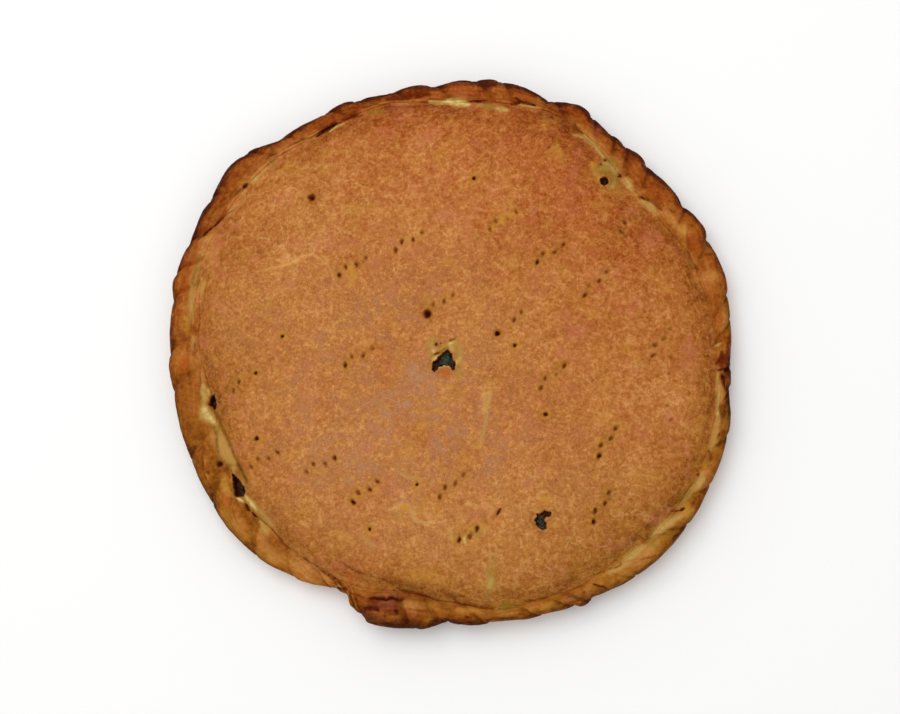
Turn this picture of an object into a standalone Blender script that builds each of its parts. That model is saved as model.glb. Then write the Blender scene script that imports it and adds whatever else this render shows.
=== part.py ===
"""Round scallop empanada: one whole, uncut pie, seen from above with a roped crust edge.

The crust is a single solid with a flat underside. Its edge is the lower sheet of dough, folded
up over the lid in slanting pleats, and the lid rises inside it as a low dome. The baker's
vents, torn seams and fork pricks are cut into it, and what shows of the dark filling in each
vent or seam is a small solid of its own. Sizes are in millimetres and angles in degrees,
counter-clockwise from +X, until MM turns a finished mesh into metres.
"""

import math
from bisect import bisect_right

import bmesh
import bpy
from mathutils import Vector, noise

MM = 0.001

# Body of the pie
FOOT_INSET = 6.0          # how far the flat underside stops short of the widest edge
WALL_HEIGHT = 11.0        # height at which the edge is widest
GROOVE_HEIGHT = 13.5      # bottom of the crease between the rope and the lid
LID_HEIGHT = 34.0         # top of the dome
LID_ROUNDNESS = 4.0       # exponent of the dome: higher is flatter with a rounder shoulder
LID_WAVE = 0.9            # how far the lumps of filling lift the lid
LID_WAVE_LENGTH = 46.0

# Rope edge
PLEAT_LEAN = 6.0          # degrees that a crease runs back on its way in to the groove
PLEAT_DEPTH = 3.0         # how deep a crease sits below the crown of a pleat
PLEAT_SKEW = 0.75         # below 1, a pleat is fullest close behind its crease
PLEAT_FULLNESS = 0.7      # below 1, a pleat is plump between narrow creases
PLEAT_LEVEL = 0.6         # swell at which the rope has the crown height of its row
ROPE_FULLNESS = 0.75      # below 1, the rope's back is broad
WALL_FULLNESS = 0.5       # below 1, the wall turns out fast above the underside

# One row for each fold of the rope: angle of its crease, distance of the edge from the middle
# there, how far the pleat after it bulges out, and the height of the rope's crown
PLEATS = (
    (5.0, 161.2, 0.4, 17.5),
    (10.0, 161.5, 2.2, 18.5),
    (22.0, 159.8, 2.6, 20.0),
    (30.5, 157.0, 1.0, 20.5),
    (42.0, 155.1, 1.8, 20.0),
    (48.2, 154.4, 1.1, 19.5),
    (52.2, 154.8, 0.6, 20.5),
    (57.5, 157.1, 3.6, 21.5),
    (67.0, 154.4, 2.0, 19.5),
    (78.5, 158.3, 1.5, 20.5),
    (84.0, 156.9, 0.8, 20.0),
    (93.0, 153.5, 1.9, 20.5),
    (102.8, 153.0, 0.5, 19.0),
    (110.0, 154.5, 2.1, 20.5),
    (117.0, 155.3, 0.4, 19.5),
    (128.5, 157.1, 0.9, 20.0),
    (136.0, 164.2, 2.6, 22.0),
    (147.5, 162.8, 1.0, 20.5),
    (157.8, 161.7, 0.9, 19.0),
    (164.5, 162.9, 1.3, 18.5),
    (170.0, 160.4, 0.5, 18.5),
    (181.2, 159.1, 1.2, 18.0),
    (189.0, 157.9, 0.6, 18.5),
    (203.8, 158.2, 0.3, 18.5),
    (214.0, 158.7, 1.2, 18.5),
    (228.0, 158.4, 0.3, 17.0),
    (237.0, 154.5, 0.2, 15.5),
    (245.5, 149.4, 0.0, 15.0),
    (248.6, 149.4, 0.0, 15.5),
    (250.2, 154.6, 0.3, 20.0),
    (252.8, 156.8, 0.0, 21.0),
    (254.2, 159.9, 0.9, 24.0),
    (264.5, 158.4, 0.6, 22.5),
    (270.8, 153.8, 1.6, 19.0),
    (279.5, 156.1, 0.3, 18.5),
    (290.0, 159.5, 0.2, 18.5),
    (296.6, 161.8, 2.2, 19.5),
    (300.2, 162.5, 0.5, 18.5),
    (309.5, 166.4, 1.2, 19.0),
    (323.2, 167.9, 0.8, 19.5),
    (332.0, 167.0, 0.6, 18.5),
    (342.0, 165.8, 0.5, 18.5),
    (351.2, 161.1, 0.8, 19.0),
    (356.5, 160.3, 0.3, 18.5),
)

# Distance of the groove between rope and lid from the middle, where it changes along the way
GROOVE = (
    (17.0, 147.8), (31.0, 141.2), (42.0, 139.2), (53.0, 143.2), (64.0, 148.4), (74.0, 145.7),
    (89.0, 142.2), (104.0, 146.6), (118.0, 145.4), (138.0, 149.6), (157.0, 149.8),
    (175.0, 142.1), (193.0, 135.6), (206.0, 138.2), (217.0, 142.8), (227.0, 141.4),
    (237.0, 144.3), (249.0, 143.0), (262.0, 138.4), (271.0, 142.6), (281.0, 148.8),
    (300.0, 152.2), (318.0, 156.2), (332.0, 158.0), (344.0, 156.4), (357.0, 152.0),
)

# Rows of the crust's section, from the middle of the underside out, up and back to the middle
UNDERSIDE_ROWS = (0.5, 1.0)                                # share of the foot's radius
WALL_ROWS = (0.2, 0.55)                                    # share of the wall's height
ROPE_ROWS = (0.0, 0.13, 0.27, 0.42, 0.57, 0.72, 0.87, 1.0)  # share of the way over the rope
LID_ROWS = (0.018, 0.05, 0.1, 0.18, 0.32, 0.5, 0.7, 0.86)  # share of the way to the middle
STEPS_ROUND = 200

# Openings that show the filling: outline on the plan, floor of the cut, top of the filling
CENTRE_VENT = (
    ((3.4, -4.4), (0.2, -7.2), (-4.9, -12.4), (-5.2, -16.2), (-3.6, -17.6), (-0.9, -14.6),
     (1.9, -13.8), (4.7, -14.2), (6.4, -17.0), (7.8, -16.4), (7.7, -12.2), (5.8, -7.6)),
    25.0, 31.4)
SIDE_VENT = (
    ((59.6, -94.6), (56.2, -94.0), (52.3, -95.8), (50.8, -99.4), (52.2, -102.8), (55.8, -104.6),
     (57.6, -103.4), (57.0, -100.6), (55.8, -98.9), (57.4, -97.2), (59.6, -97.0)),
    23.0, 29.0)
UPPER_SEAM = (
    ((-133.6, -27.8), (-131.4, -26.0), (-130.0, -29.2), (-129.8, -32.6), (-131.0, -35.2),
     (-132.6, -33.2), (-135.0, -32.4), (-134.0, -30.2)),
    7.5, 12.4)
LOWER_SEAM = (
    ((-120.2, -71.8), (-117.4, -73.2), (-114.2, -76.8), (-111.4, -81.4), (-113.4, -84.6),
     (-118.2, -84.8), (-119.2, -79.0)),
    7.5, 12.0)
EDGE_HOLE = (
    ((94.0, 91.7), (93.2, 93.7), (91.4, 94.4), (89.6, 93.4), (88.9, 91.5), (89.8, 89.8),
     (91.5, 89.1), (93.3, 89.8)),
    14.0, 19.5)
FILLING_GAP = 0.4         # clearance between a piece of filling and the crust round it
FILLING_SHOULDER = 0.5    # how far the bumpy top of the filling is drawn in, and raised
FILLING_BUMP = 0.8
FILLING_BUMP_LENGTH = 2.3
CUT_ABOVE = 8.0           # how far the cut of an opening starts above the dome

# Fork pricks: the four tines leave one zigzag, turned a little from mark to mark
FORK_TINES = ((0.0, 0.0), (3.4, 4.8), (9.8, 5.9), (14.7, 9.8))
FORK_MARKS = (
    (-25.7, 52.0, 0), (-57.6, 38.5, 0), (-7.9, 15.9, 2), (27.3, 63.2, 0), (53.5, 43.9, 0),
    (79.8, 24.8, 14), (31.6, 4.1, 9), (-53.8, -12.7, -3), (-118.6, -25.4, 1),
    (-107.8, -68.4, -8), (-75.3, -71.9, -9), (-48.9, -88.6, 5), (-0.7, -86.2, 9),
    (54.8, -26.8, 9), (86.2, -64.2, 24), (83.0, -99.8, 28), (9.6, -109.5, 0),
    (116.6, -9.0, 24), (100.3, 61.5, 14),
)
PRICK_RADIUS = 1.1
PRICK_DEPTH = 2.6
PRICK_SIDES = 4
PRICK_ABOVE = 2.5         # how far a prick's cone starts above the crust
PRICK_TIP = 0.12          # width of the cone's blunt point as a share of its mouth

# Round holes: place on the plan, radius and depth
HOLES = (
    (-7.7, 15.4, 2.1, 4.5), (31.3, 3.9, 1.5, 4.0), (-74.5, 84.5, 2.0, 2.6),
    (18.3, 93.2, 0.9, 2.4), (-89.9, 4.4, 0.9, 2.4), (-105.1, -16.0, 1.0, 2.4),
    (-104.3, -52.6, 1.2, 3.0), (-13.3, -79.4, 1.0, 2.4), (-39.7, -103.4, 1.1, 2.4),
    (57.6, -41.2, 1.0, 2.4), (-127.5, -66.1, 1.7, 4.0), (40.8, -3.1, 1.0, 2.4),
)
HOLE_SIDES = 8
HOLE_REACH = 4.0          # a fork prick nearer than this to a round hole is part of the hole


def clear_scene():
    for thing in list(bpy.data.objects):
        bpy.data.objects.remove(thing, do_unlink=True)


def smooth(u):
    return u * u * (3.0 - 2.0 * u)


def row_before(table, angle):
    """The last row at or before an angle, the next one, and the share of the way between."""
    index = bisect_right([row[0] for row in table], angle % 360.0) - 1
    row = table[index]
    following = table[(index + 1) % len(table)]
    span = (following[0] - row[0]) % 360.0
    return row, following, ((angle - row[0]) % 360.0) / span


def blend_column(table, column, angle):
    row, following, share = row_before(table, angle)
    return row[column] + (following[column] - row[column]) * smooth(share)


def pleat_swell(angle):
    """How full the pleat is at an angle: 0 in its creases, 1 at its crown."""
    share = row_before(PLEATS, angle)[2]
    return math.sin(math.pi * share ** PLEAT_SKEW) ** PLEAT_FULLNESS


def edge_radius(angle):
    row = row_before(PLEATS, angle)[0]
    return blend_column(PLEATS, 1, angle) + row[2] * pleat_swell(angle)


def groove_radius(angle):
    return blend_column(GROOVE, 1, angle)


def lid_height(x, y, share):
    """Height of the dome, where share is 0 at the groove and 1 in the middle."""
    rise = (1.0 - (1.0 - share) ** LID_ROUNDNESS) ** 0.5
    wave = noise.noise(Vector((x, y, 0.0)) / LID_WAVE_LENGTH) * LID_WAVE * rise
    return GROOVE_HEIGHT + (LID_HEIGHT - GROOVE_HEIGHT) * rise + wave


def underside_row(angle, share):
    return (edge_radius(angle) - FOOT_INSET) * share, 0.0


def wall_row(angle, share):
    tuck = FOOT_INSET * (1.0 - math.sin(0.5 * math.pi * share) ** WALL_FULLNESS)
    return edge_radius(angle) - tuck, WALL_HEIGHT * share


def rope_row(angle, share):
    """The rope's round back. A crease runs back by the lean on its way to the groove."""
    turned = angle + PLEAT_LEAN * share
    arch = math.sin(math.pi * share) ** ROPE_FULLNESS
    start = WALL_HEIGHT if share < 0.5 else GROOVE_HEIGHT
    crown = blend_column(PLEATS, 3, turned) + PLEAT_DEPTH * (pleat_swell(turned) - PLEAT_LEVEL)
    across = 0.5 * (1.0 - math.cos(math.pi * share))
    edge = edge_radius(angle)
    return edge - (edge - groove_radius(angle)) * across, start + (crown - start) * arch


def lid_row(angle, share):
    radius = groove_radius(angle) * (1.0 - share)
    x = radius * math.cos(math.radians(angle))
    y = radius * math.sin(math.radians(angle))
    return radius, lid_height(x, y, share)


def section_rows():
    """Every row of the crust between the two middle points, as (function, share)."""
    rows = [(underside_row, share) for share in UNDERSIDE_ROWS]
    rows += [(wall_row, share) for share in WALL_ROWS]
    rows += [(rope_row, share) for share in ROPE_ROWS]
    rows += [(lid_row, share) for share in LID_ROWS]
    return rows


def new_object(name, mesh_data, material):
    mesh_data.normal_update()
    mesh = bpy.data.meshes.new(name)
    mesh_data.to_mesh(mesh)
    mesh_data.free()
    thing = bpy.data.objects.new(name, mesh)
    bpy.context.scene.collection.objects.link(thing)
    if material:
        mesh.materials.append(material)
    return thing


def make_material(name, colour, roughness):
    material = bpy.data.materials.new(name)
    material.use_nodes = True
    shader = material.node_tree.nodes["Principled BSDF"]
    shader.inputs["Base Color"].default_value = (*colour, 1.0)
    shader.inputs["Roughness"].default_value = roughness
    shader.inputs["Metallic"].default_value = 0.0
    material.diffuse_color = (*colour, 1.0)
    return material


def make_crust(material):
    """Spins a drum of numbered rows, then carries each row to its place on the pie."""
    rows = section_rows()
    shell = bmesh.new()
    heights = range(len(rows) + 2)
    column = [shell.verts.new((0.0 if k in (0, heights[-1]) else 1.0, 0.0, k)) for k in heights]
    edges = [shell.edges.new(pair) for pair in zip(column, column[1:])]
    bmesh.ops.spin(shell, geom=column + edges, axis=(0, 0, 1), cent=(0, 0, 0),
                   angle=math.tau, steps=STEPS_ROUND, use_merge=True)
    bmesh.ops.remove_doubles(shell, verts=shell.verts, dist=1e-5)
    for vert in shell.verts:
        number = round(vert.co.z)
        angle = math.degrees(math.atan2(vert.co.y, vert.co.x))
        if number == 0:
            radius, height = 0.0, 0.0
        elif number == heights[-1]:
            radius, height = 0.0, lid_height(0.0, 0.0, 1.0)
        else:
            place, share = rows[number - 1]
            radius, height = place(angle, share)
        turn = math.radians(angle)
        vert.co = Vector((radius * math.cos(turn), radius * math.sin(turn), height)) * MM
    bmesh.ops.recalc_face_normals(shell, faces=shell.faces)
    crust = new_object("crust", shell, material)
    crust.data.shade_smooth()
    return crust


def surface_height(x, y):
    """Height of the crust at a place on the plan, on the rope or on the lid."""
    angle = math.degrees(math.atan2(y, x))
    edge = edge_radius(angle)
    groove = groove_radius(angle)
    reach = math.hypot(x, y)
    if reach > groove:
        across = (edge - reach) / (edge - groove)
        return rope_row(angle, math.acos(1.0 - 2.0 * across) / math.pi)[1]
    return lid_height(x, y, 1.0 - reach / groove)


def outline_prism(outline, inset, low, high):
    """An upright block on an outline, drawn in by inset on every side."""
    block = bmesh.new()
    floor = block.faces.new([block.verts.new((x * MM, y * MM, low * MM)) for x, y in outline])
    floor.normal_update()
    if floor.normal.z < 0:
        floor.normal_flip()
    if inset:
        bmesh.ops.inset_individual(block, faces=[floor], thickness=inset * MM)
        collar = [vert for vert in block.verts if floor not in vert.link_faces]
        bmesh.ops.delete(block, geom=collar, context="VERTS")
    top = bmesh.ops.extrude_face_region(block, geom=list(block.faces))["geom"]
    raised = [item for item in top if isinstance(item, bmesh.types.BMVert)]
    bmesh.ops.translate(block, verts=raised, vec=(0.0, 0.0, (high - low) * MM))
    bmesh.ops.recalc_face_normals(block, faces=block.faces)
    return block


def make_filling(name, opening, material):
    """A lump of filling in its opening, with a bumpy top."""
    outline, floor, top = opening
    lump = outline_prism(outline, FILLING_GAP, floor + FILLING_GAP, top)
    crown = max(lump.faces, key=lambda face: face.calc_center_median().z)
    bmesh.ops.inset_individual(lump, faces=[crown], thickness=FILLING_SHOULDER * MM,
                               depth=FILLING_SHOULDER * MM)
    bmesh.ops.triangulate(lump, faces=[crown])
    for vert in lump.verts:
        if vert.co.z > top * MM:
            vert.co.z += FILLING_BUMP * MM * noise.noise(vert.co / (FILLING_BUMP_LENGTH * MM))
    bmesh.ops.triangulate(lump, faces=lump.faces)
    return new_object(name, lump, material)


def as_cutter(crust, name, mesh_data):
    cutter = new_object(name, mesh_data, None)
    cutter.hide_render = True
    cutter.display_type = "WIRE"
    cut = crust.modifiers.new(name, "BOOLEAN")
    cut.operation = "DIFFERENCE"
    cut.solver = "EXACT"
    cut.object = cutter


def cut_opening(crust, name, opening):
    outline, floor, _ = opening
    as_cutter(crust, name, outline_prism(outline, 0.0, floor, LID_HEIGHT + CUT_ABOVE))


def add_prick(cones, x, y, radius, depth, sides):
    """A cone whose point lies depth below the crust and whose side meets the crust at radius."""
    length = depth + PRICK_ABOVE
    mouth = radius * length / depth
    made = bmesh.ops.create_cone(cones, cap_ends=True, cap_tris=False, segments=sides,
                                 radius1=mouth * PRICK_TIP * MM, radius2=mouth * MM,
                                 depth=length * MM)
    middle = surface_height(x, y) - depth + 0.5 * length
    bmesh.ops.translate(cones, verts=made["verts"], vec=(x * MM, y * MM, middle * MM))


def fork_pricks():
    """Where each tine went in. A tine that meets a round hole is left to that hole."""
    for x, y, turn in FORK_MARKS:
        for across, along in FORK_TINES:
            angle = math.radians(turn)
            px = x + across * math.cos(angle) - along * math.sin(angle)
            py = y + across * math.sin(angle) + along * math.cos(angle)
            if all(math.hypot(px - hole[0], py - hole[1]) > HOLE_REACH for hole in HOLES):
                yield px, py


def cut_pricks(crust):
    cones = bmesh.new()
    for x, y in fork_pricks():
        add_prick(cones, x, y, PRICK_RADIUS, PRICK_DEPTH, PRICK_SIDES)
    for x, y, radius, depth in HOLES:
        add_prick(cones, x, y, radius, depth, HOLE_SIDES)
    bmesh.ops.recalc_face_normals(cones, faces=cones.faces)
    as_cutter(crust, "prick_cutter", cones)


def main():
    clear_scene()
    baked = make_material("crust", (0.43, 0.17, 0.05), 0.75)
    dark = make_material("filling", (0.035, 0.03, 0.018), 0.45)
    crust = make_crust(baked)
    openings = (
        ("centre_vent", CENTRE_VENT),
        ("side_vent", SIDE_VENT),
        ("upper_seam", UPPER_SEAM),
        ("lower_seam", LOWER_SEAM),
        ("edge_hole", EDGE_HOLE),
    )
    for name, opening in openings:
        cut_opening(crust, name + "_cutter", opening)
        make_filling("filling_" + name, opening, dark)
    cut_pricks(crust)


main()
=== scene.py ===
"""Looks of the scallop empanada: its pricked lid, the roped edge of its lower sheet, its filling.

Sizes are in millimetres and angles in degrees, counter-clockwise from +X, until MM turns a
finished mesh into metres. The pie's body repeats the part's own sizes, and what is finer is
worked into two sheets of dough: the lid, and the lower sheet with the rope folded from it.
"""

import math

import bmesh
import bpy
import numpy as np
from mathutils import Matrix, Vector, noise


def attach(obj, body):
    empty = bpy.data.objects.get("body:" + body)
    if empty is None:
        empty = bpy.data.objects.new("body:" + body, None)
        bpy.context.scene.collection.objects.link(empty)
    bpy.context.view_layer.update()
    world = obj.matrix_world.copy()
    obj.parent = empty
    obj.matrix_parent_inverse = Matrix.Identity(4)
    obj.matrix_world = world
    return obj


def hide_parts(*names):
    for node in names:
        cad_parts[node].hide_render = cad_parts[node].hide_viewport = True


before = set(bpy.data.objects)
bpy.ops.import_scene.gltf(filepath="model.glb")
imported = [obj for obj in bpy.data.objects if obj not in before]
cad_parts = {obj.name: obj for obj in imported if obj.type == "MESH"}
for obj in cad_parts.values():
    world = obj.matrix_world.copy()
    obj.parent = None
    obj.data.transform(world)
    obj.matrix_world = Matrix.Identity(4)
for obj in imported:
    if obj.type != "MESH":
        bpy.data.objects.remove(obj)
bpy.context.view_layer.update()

MM = 0.001

# View of the photograph: nearly straight down, leaning to the lower right
VIEW_TURN = 30.0
VIEW_HEIGHT = 80.0
VIEW_DISTANCE = 852.8
VIEW_MIDDLE = (3.25, -4.25, 12.0)     # place on the pie that the photograph's middle is near
VIEW_LEFT = 0.28                      # how far left of and below that place the view is aimed
VIEW_DOWN = 1.42
LENS = 60.0
SENSOR = 36.0
PHOTO_SIZE = (900, 714)
PIE_MIDDLE = (450.5, 354.5)           # pixel that the angles of the rim's marks turn about

# Body of the pie
FOOT_INSET = 6.0
WALL_HEIGHT = 11.0
GROOVE_HEIGHT = 13.5
LID_HEIGHT = 34.0
LID_ROUNDNESS = 4.0
LID_WAVE = 0.9
LID_WAVE_LENGTH = 46.0

# Rope edge
PLEAT_LEAN = 6.0
PLEAT_DEPTH = 3.0
PLEAT_SKEW = 0.75
PLEAT_FULLNESS = 0.7
PLEAT_LEVEL = 0.6
ROPE_FULLNESS = 0.75
WALL_FULLNESS = 0.5

# One row for each fold of the rope: angle of its crease, distance of the edge from the middle
# there, how far the pleat after it bulges out, and the height of the rope's crown
PLEATS = (
    (5.0, 161.2, 0.4, 17.5),
    (10.0, 161.5, 2.2, 18.5),
    (22.0, 159.8, 2.6, 20.0),
    (30.5, 157.0, 1.0, 20.5),
    (42.0, 155.1, 1.8, 20.0),
    (48.2, 154.4, 1.1, 19.5),
    (52.2, 154.8, 0.6, 20.5),
    (57.5, 157.1, 3.6, 21.5),
    (67.0, 154.4, 2.0, 19.5),
    (78.5, 158.3, 1.5, 20.5),
    (84.0, 156.9, 0.8, 20.0),
    (93.0, 153.5, 1.9, 20.5),
    (102.8, 153.0, 0.5, 19.0),
    (110.0, 154.5, 2.1, 20.5),
    (117.0, 155.3, 0.4, 19.5),
    (128.5, 157.1, 0.9, 20.0),
    (136.0, 164.2, 2.6, 22.0),
    (147.5, 162.8, 1.0, 20.5),
    (157.8, 161.7, 0.9, 19.0),
    (164.5, 162.9, 1.3, 18.5),
    (170.0, 160.4, 0.5, 18.5),
    (181.2, 159.1, 1.2, 18.0),
    (189.0, 157.9, 0.6, 18.5),
    (203.8, 158.2, 0.3, 18.5),
    (214.0, 158.7, 1.2, 18.5),
    (228.0, 158.4, 0.3, 17.0),
    (237.0, 154.5, 0.2, 15.5),
    (245.5, 149.4, 0.0, 15.0),
    (248.6, 149.4, 0.0, 15.5),
    (250.2, 154.6, 0.3, 20.0),
    (252.8, 156.8, 0.0, 21.0),
    (254.2, 159.9, 0.9, 24.0),
    (264.5, 158.4, 0.6, 22.5),
    (270.8, 153.8, 1.6, 19.0),
    (279.5, 156.1, 0.3, 18.5),
    (290.0, 159.5, 0.2, 18.5),
    (296.6, 161.8, 2.2, 19.5),
    (300.2, 162.5, 0.5, 18.5),
    (309.5, 166.4, 1.2, 19.0),
    (323.2, 167.9, 0.8, 19.5),
    (332.0, 167.0, 0.6, 18.5),
    (342.0, 165.8, 0.5, 18.5),
    (351.2, 161.1, 0.8, 19.0),
    (356.5, 160.3, 0.3, 18.5),
)

# Distance of the groove between rope and lid from the middle
GROOVE = (
    (17.0, 147.8), (31.0, 141.2), (42.0, 139.2), (53.0, 143.2), (64.0, 148.4), (74.0, 145.7),
    (89.0, 142.2), (104.0, 146.6), (118.0, 145.4), (138.0, 149.6), (157.0, 149.8),
    (175.0, 142.1), (193.0, 135.6), (206.0, 138.2), (217.0, 142.8), (227.0, 141.4),
    (237.0, 144.3), (249.0, 143.0), (262.0, 138.4), (271.0, 142.6), (281.0, 148.8),
    (300.0, 152.2), (318.0, 156.2), (332.0, 158.0), (344.0, 156.4), (357.0, 152.0),
)

# Openings that show the filling: outline on the plan, floor of the hole, top of the filling
CENTRE_VENT = (
    ((3.4, -4.4), (0.2, -7.2), (-4.9, -12.4), (-5.2, -16.2), (-3.6, -17.6), (-0.9, -14.6),
     (1.9, -13.8), (4.7, -14.2), (6.4, -17.0), (7.8, -16.4), (7.7, -12.2), (5.8, -7.6)),
    25.0, 31.4)
SIDE_VENT = (
    ((59.6, -94.6), (56.2, -94.0), (52.3, -95.8), (50.8, -99.4), (52.2, -102.8), (55.8, -104.6),
     (57.6, -103.4), (57.0, -100.6), (55.8, -98.9), (57.4, -97.2), (59.6, -97.0)),
    23.0, 29.0)
UPPER_SEAM = (
    ((-133.6, -27.8), (-131.4, -26.0), (-130.0, -29.2), (-129.8, -32.6), (-131.0, -35.2),
     (-132.6, -33.2), (-135.0, -32.4), (-134.0, -30.2)),
    7.5, 12.4)
LOWER_SEAM = (
    ((-120.2, -71.8), (-117.4, -73.2), (-114.2, -76.8), (-111.4, -81.4), (-113.4, -84.6),
     (-118.2, -84.8), (-119.2, -79.0)),
    7.5, 12.0)
EDGE_HOLE = (
    ((94.0, 91.7), (93.2, 93.7), (91.4, 94.4), (89.6, 93.4), (88.9, 91.5), (89.8, 89.8),
     (91.5, 89.1), (93.3, 89.8)),
    14.0, 19.5)
OPENINGS = {
    "centre_vent": CENTRE_VENT,
    "side_vent": SIDE_VENT,
    "upper_seam": UPPER_SEAM,
    "lower_seam": LOWER_SEAM,
    "edge_hole": EDGE_HOLE,
}

# Green heart of the filling in each opening: place and reach. Past it the filling is maroon
HEARTS = {
    "centre_vent": (2.0, -9.5, 3.0),
    "side_vent": (53.0, -99.5, 1.5),
    "upper_seam": (-132.0, -31.0, -2.0),
    "lower_seam": (-116.0, -79.0, -2.0),
    "edge_hole": (91.4, 91.7, -1.5),
}

# How far the baked dough has closed in on each opening
CLOSED_IN = {
    "centre_vent": 0.25, "side_vent": 0.2, "upper_seam": 0.3, "lower_seam": 0.25, "edge_hole": 0.2,
}

# Fork pricks: place of a mark, its turn, how its slits lean and how dark each of the four is
FORK_TINES = ((0.0, 0.0), (3.4, 4.8), (9.8, 5.9), (14.7, 9.8))
FORK_MARKS = (
    (-25.7, 52.0, 0, 95, (0.7, 0.55, 0.6, 0.35)),
    (-57.6, 38.5, 0, 105, (0.9, 0.5, 0.6, 0.4)),
    (-7.9, 15.9, 2, 80, (0.0, 0.4, 0.45, 0.3)),
    (27.3, 63.2, 0, 100, (0.35, 0.4, 0.2, 0.35)),
    (53.5, 43.9, 0, 65, (0.85, 0.55, 0.45, 0.5)),
    (79.8, 24.8, 14, 40, (0.7, 0.3, 0.45, 0.35)),
    (31.6, 4.1, 9, 80, (0.0, 0.2, 0.55, 0.35)),
    (-53.8, -12.7, -3, 100, (0.95, 0.35, 0.45, 0.35)),
    (-118.6, -25.4, 1, 90, (0.45, 0.5, 0.1, 0.65)),
    (-107.8, -68.4, -8, 125, (0.4, 0.4, 0.45, 0.45)),
    (-75.3, -71.9, -9, 115, (0.5, 0.5, 0.45, 0.8)),
    (-48.9, -88.6, 5, 135, (1.0, 0.55, 0.5, 0.45)),
    (-0.7, -86.2, 9, 75, (0.6, 0.6, 0.45, 0.4)),
    (54.8, -26.8, 9, 70, (0.5, 0.45, 0.25, 0.65)),
    (86.2, -64.2, 24, 60, (1.0, 0.7, 0.6, 0.55)),
    (83.0, -99.8, 28, 80, (0.9, 0.8, 0.7, 0.7)),
    (9.6, -109.5, 0, 75, (0.9, 0.15, 0.85, 0.1)),
    (116.6, -9.0, 24, 20, (0.5, 0.5, 0.3, 0.2)),
    (100.3, 61.5, 14, 130, (0.65, 0.5, 0.15, 0.1)),
)
PRICK_RADIUS = 1.3
PRICK_DEPTH = 1.7
PRICK_WANDER = 0.5
SLIT_STRETCH = 1.25

# Round holes: place on the plan, radius and depth
HOLES = (
    (-7.7, 15.4, 2.1, 4.5), (31.3, 3.9, 1.5, 4.0), (-74.5, 84.5, 2.0, 2.6),
    (18.3, 93.2, 0.9, 2.4), (-89.9, 4.4, 0.9, 2.4), (-105.1, -16.0, 1.0, 2.4),
    (-104.3, -52.6, 1.2, 3.0), (-13.3, -79.4, 0.8, 1.8), (-39.7, -103.4, 0.9, 2.0),
    (57.6, -41.2, 1.0, 2.4), (-127.5, -66.1, 1.7, 4.0), (40.8, -3.1, 1.0, 2.4),
)
HOLE_REACH = 4.0          # a fork prick nearer than this to a round hole is part of the hole

# Browning round the rope: angle, tone of its outer back, tone of its inner back, redness.
# A tone of 0 is pale dough and 1 is burnt
ROPE_TONE = (
    (0.0, 0.38, 0.46, 0.50), (15.0, 0.54, 0.46, 0.60), (30.0, 0.62, 0.45, 0.70),
    (45.0, 0.62, 0.52, 0.80), (60.0, 0.58, 0.68, 0.95), (75.0, 0.60, 0.46, 0.95),
    (90.0, 0.50, 0.60, 0.95), (105.0, 0.28, 0.64, 0.95), (120.0, 0.50, 0.54, 0.90),
    (135.0, 0.74, 0.40, 0.80), (150.0, 0.66, 0.48, 0.70), (165.0, 0.46, 0.41, 0.55),
    (180.0, 0.54, 0.42, 0.50), (195.0, 0.62, 0.54, 0.30), (210.0, 0.64, 0.57, 0.25),
    (225.0, 0.56, 0.56, 0.20), (240.0, 0.52, 0.54, 0.40), (249.0, 0.46, 0.58, 0.50),
    (256.0, 0.72, 0.76, 0.60), (270.0, 0.62, 0.60, 0.35), (285.0, 0.47, 0.60, 0.25),
    (300.0, 0.72, 0.58, 0.15), (315.0, 0.60, 0.60, 0.10), (330.0, 0.55, 0.62, 0.20),
    (345.0, 0.62, 0.60, 0.35),
)

# Browning of the lid: its tone and redness, how much darker its flank is, and broad patches:
# place, size, and what each adds to the tone, the redness and the flour with its painted sheen
LID_TONE = 0.30
LID_REDNESS = 0.42
FLANK_TONE = 0.16
FLANK_WIDTH = 15.0
FLANK_STREAKS = 0.12
FLANK_STREAK_LENGTH = 16.0
FLANK_STREAK_WIDTH = 1.7
FLANK_STREAK_REACH = 24.0
SEAM_FADE = 4.0
LID_PATCHES = (
    (0.0, 105.0, 55.0, 0.01, 0.35, 0.0), (75.0, 88.0, 48.0, 0.02, 0.35, 0.0),
    (108.0, 60.0, 30.0, 0.08, 0.20, 0.0), (108.0, 12.0, 42.0, 0.04, 0.20, 0.0),
    (92.0, -108.0, 42.0, 0.06, -0.40, 0.0), (15.0, -132.0, 38.0, 0.0, -0.30, 0.0),
    (-105.0, 10.0, 48.0, -0.02, -0.10, 0.1), (-122.0, -12.0, 30.0, 0.09, -0.10, 0.0),
    (-82.0, -105.0, 38.0, 0.02, -0.15, 0.0), (-25.0, -12.0, 62.0, 0.0, 0.0, 0.45),
    (-10.0, -55.0, 46.0, 0.0, 0.0, 0.45), (-18.0, 72.0, 40.0, -0.04, 0.0, 0.0),
    (60.0, -70.0, 40.0, 0.0, 0.1, 0.15), (-70.0, -60.0, 36.0, 0.0, 0.0, 0.3),
    (-15.0, -105.0, 30.0, -0.06, 0.0, 0.0), (85.0, 22.0, 30.0, -0.05, 0.0, 0.0),
    (120.0, -40.0, 30.0, -0.05, 0.0, 0.0), (68.0, 119.0, 22.0, 0.10, 0.25, 0.0),
    (36.0, 134.0, 15.0, 0.08, 0.15, 0.0), (2.0, 139.0, 15.0, 0.05, 0.25, 0.0),
    (-34.0, 134.0, 16.0, 0.07, 0.35, 0.0), (-62.0, 124.0, 14.0, 0.04, 0.20, 0.0),
    (-117.0, 52.0, 17.0, 0.09, 0.05, 0.0), (-136.0, -14.0, 14.0, -0.07, 0.0, 0.0),
)
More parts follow.
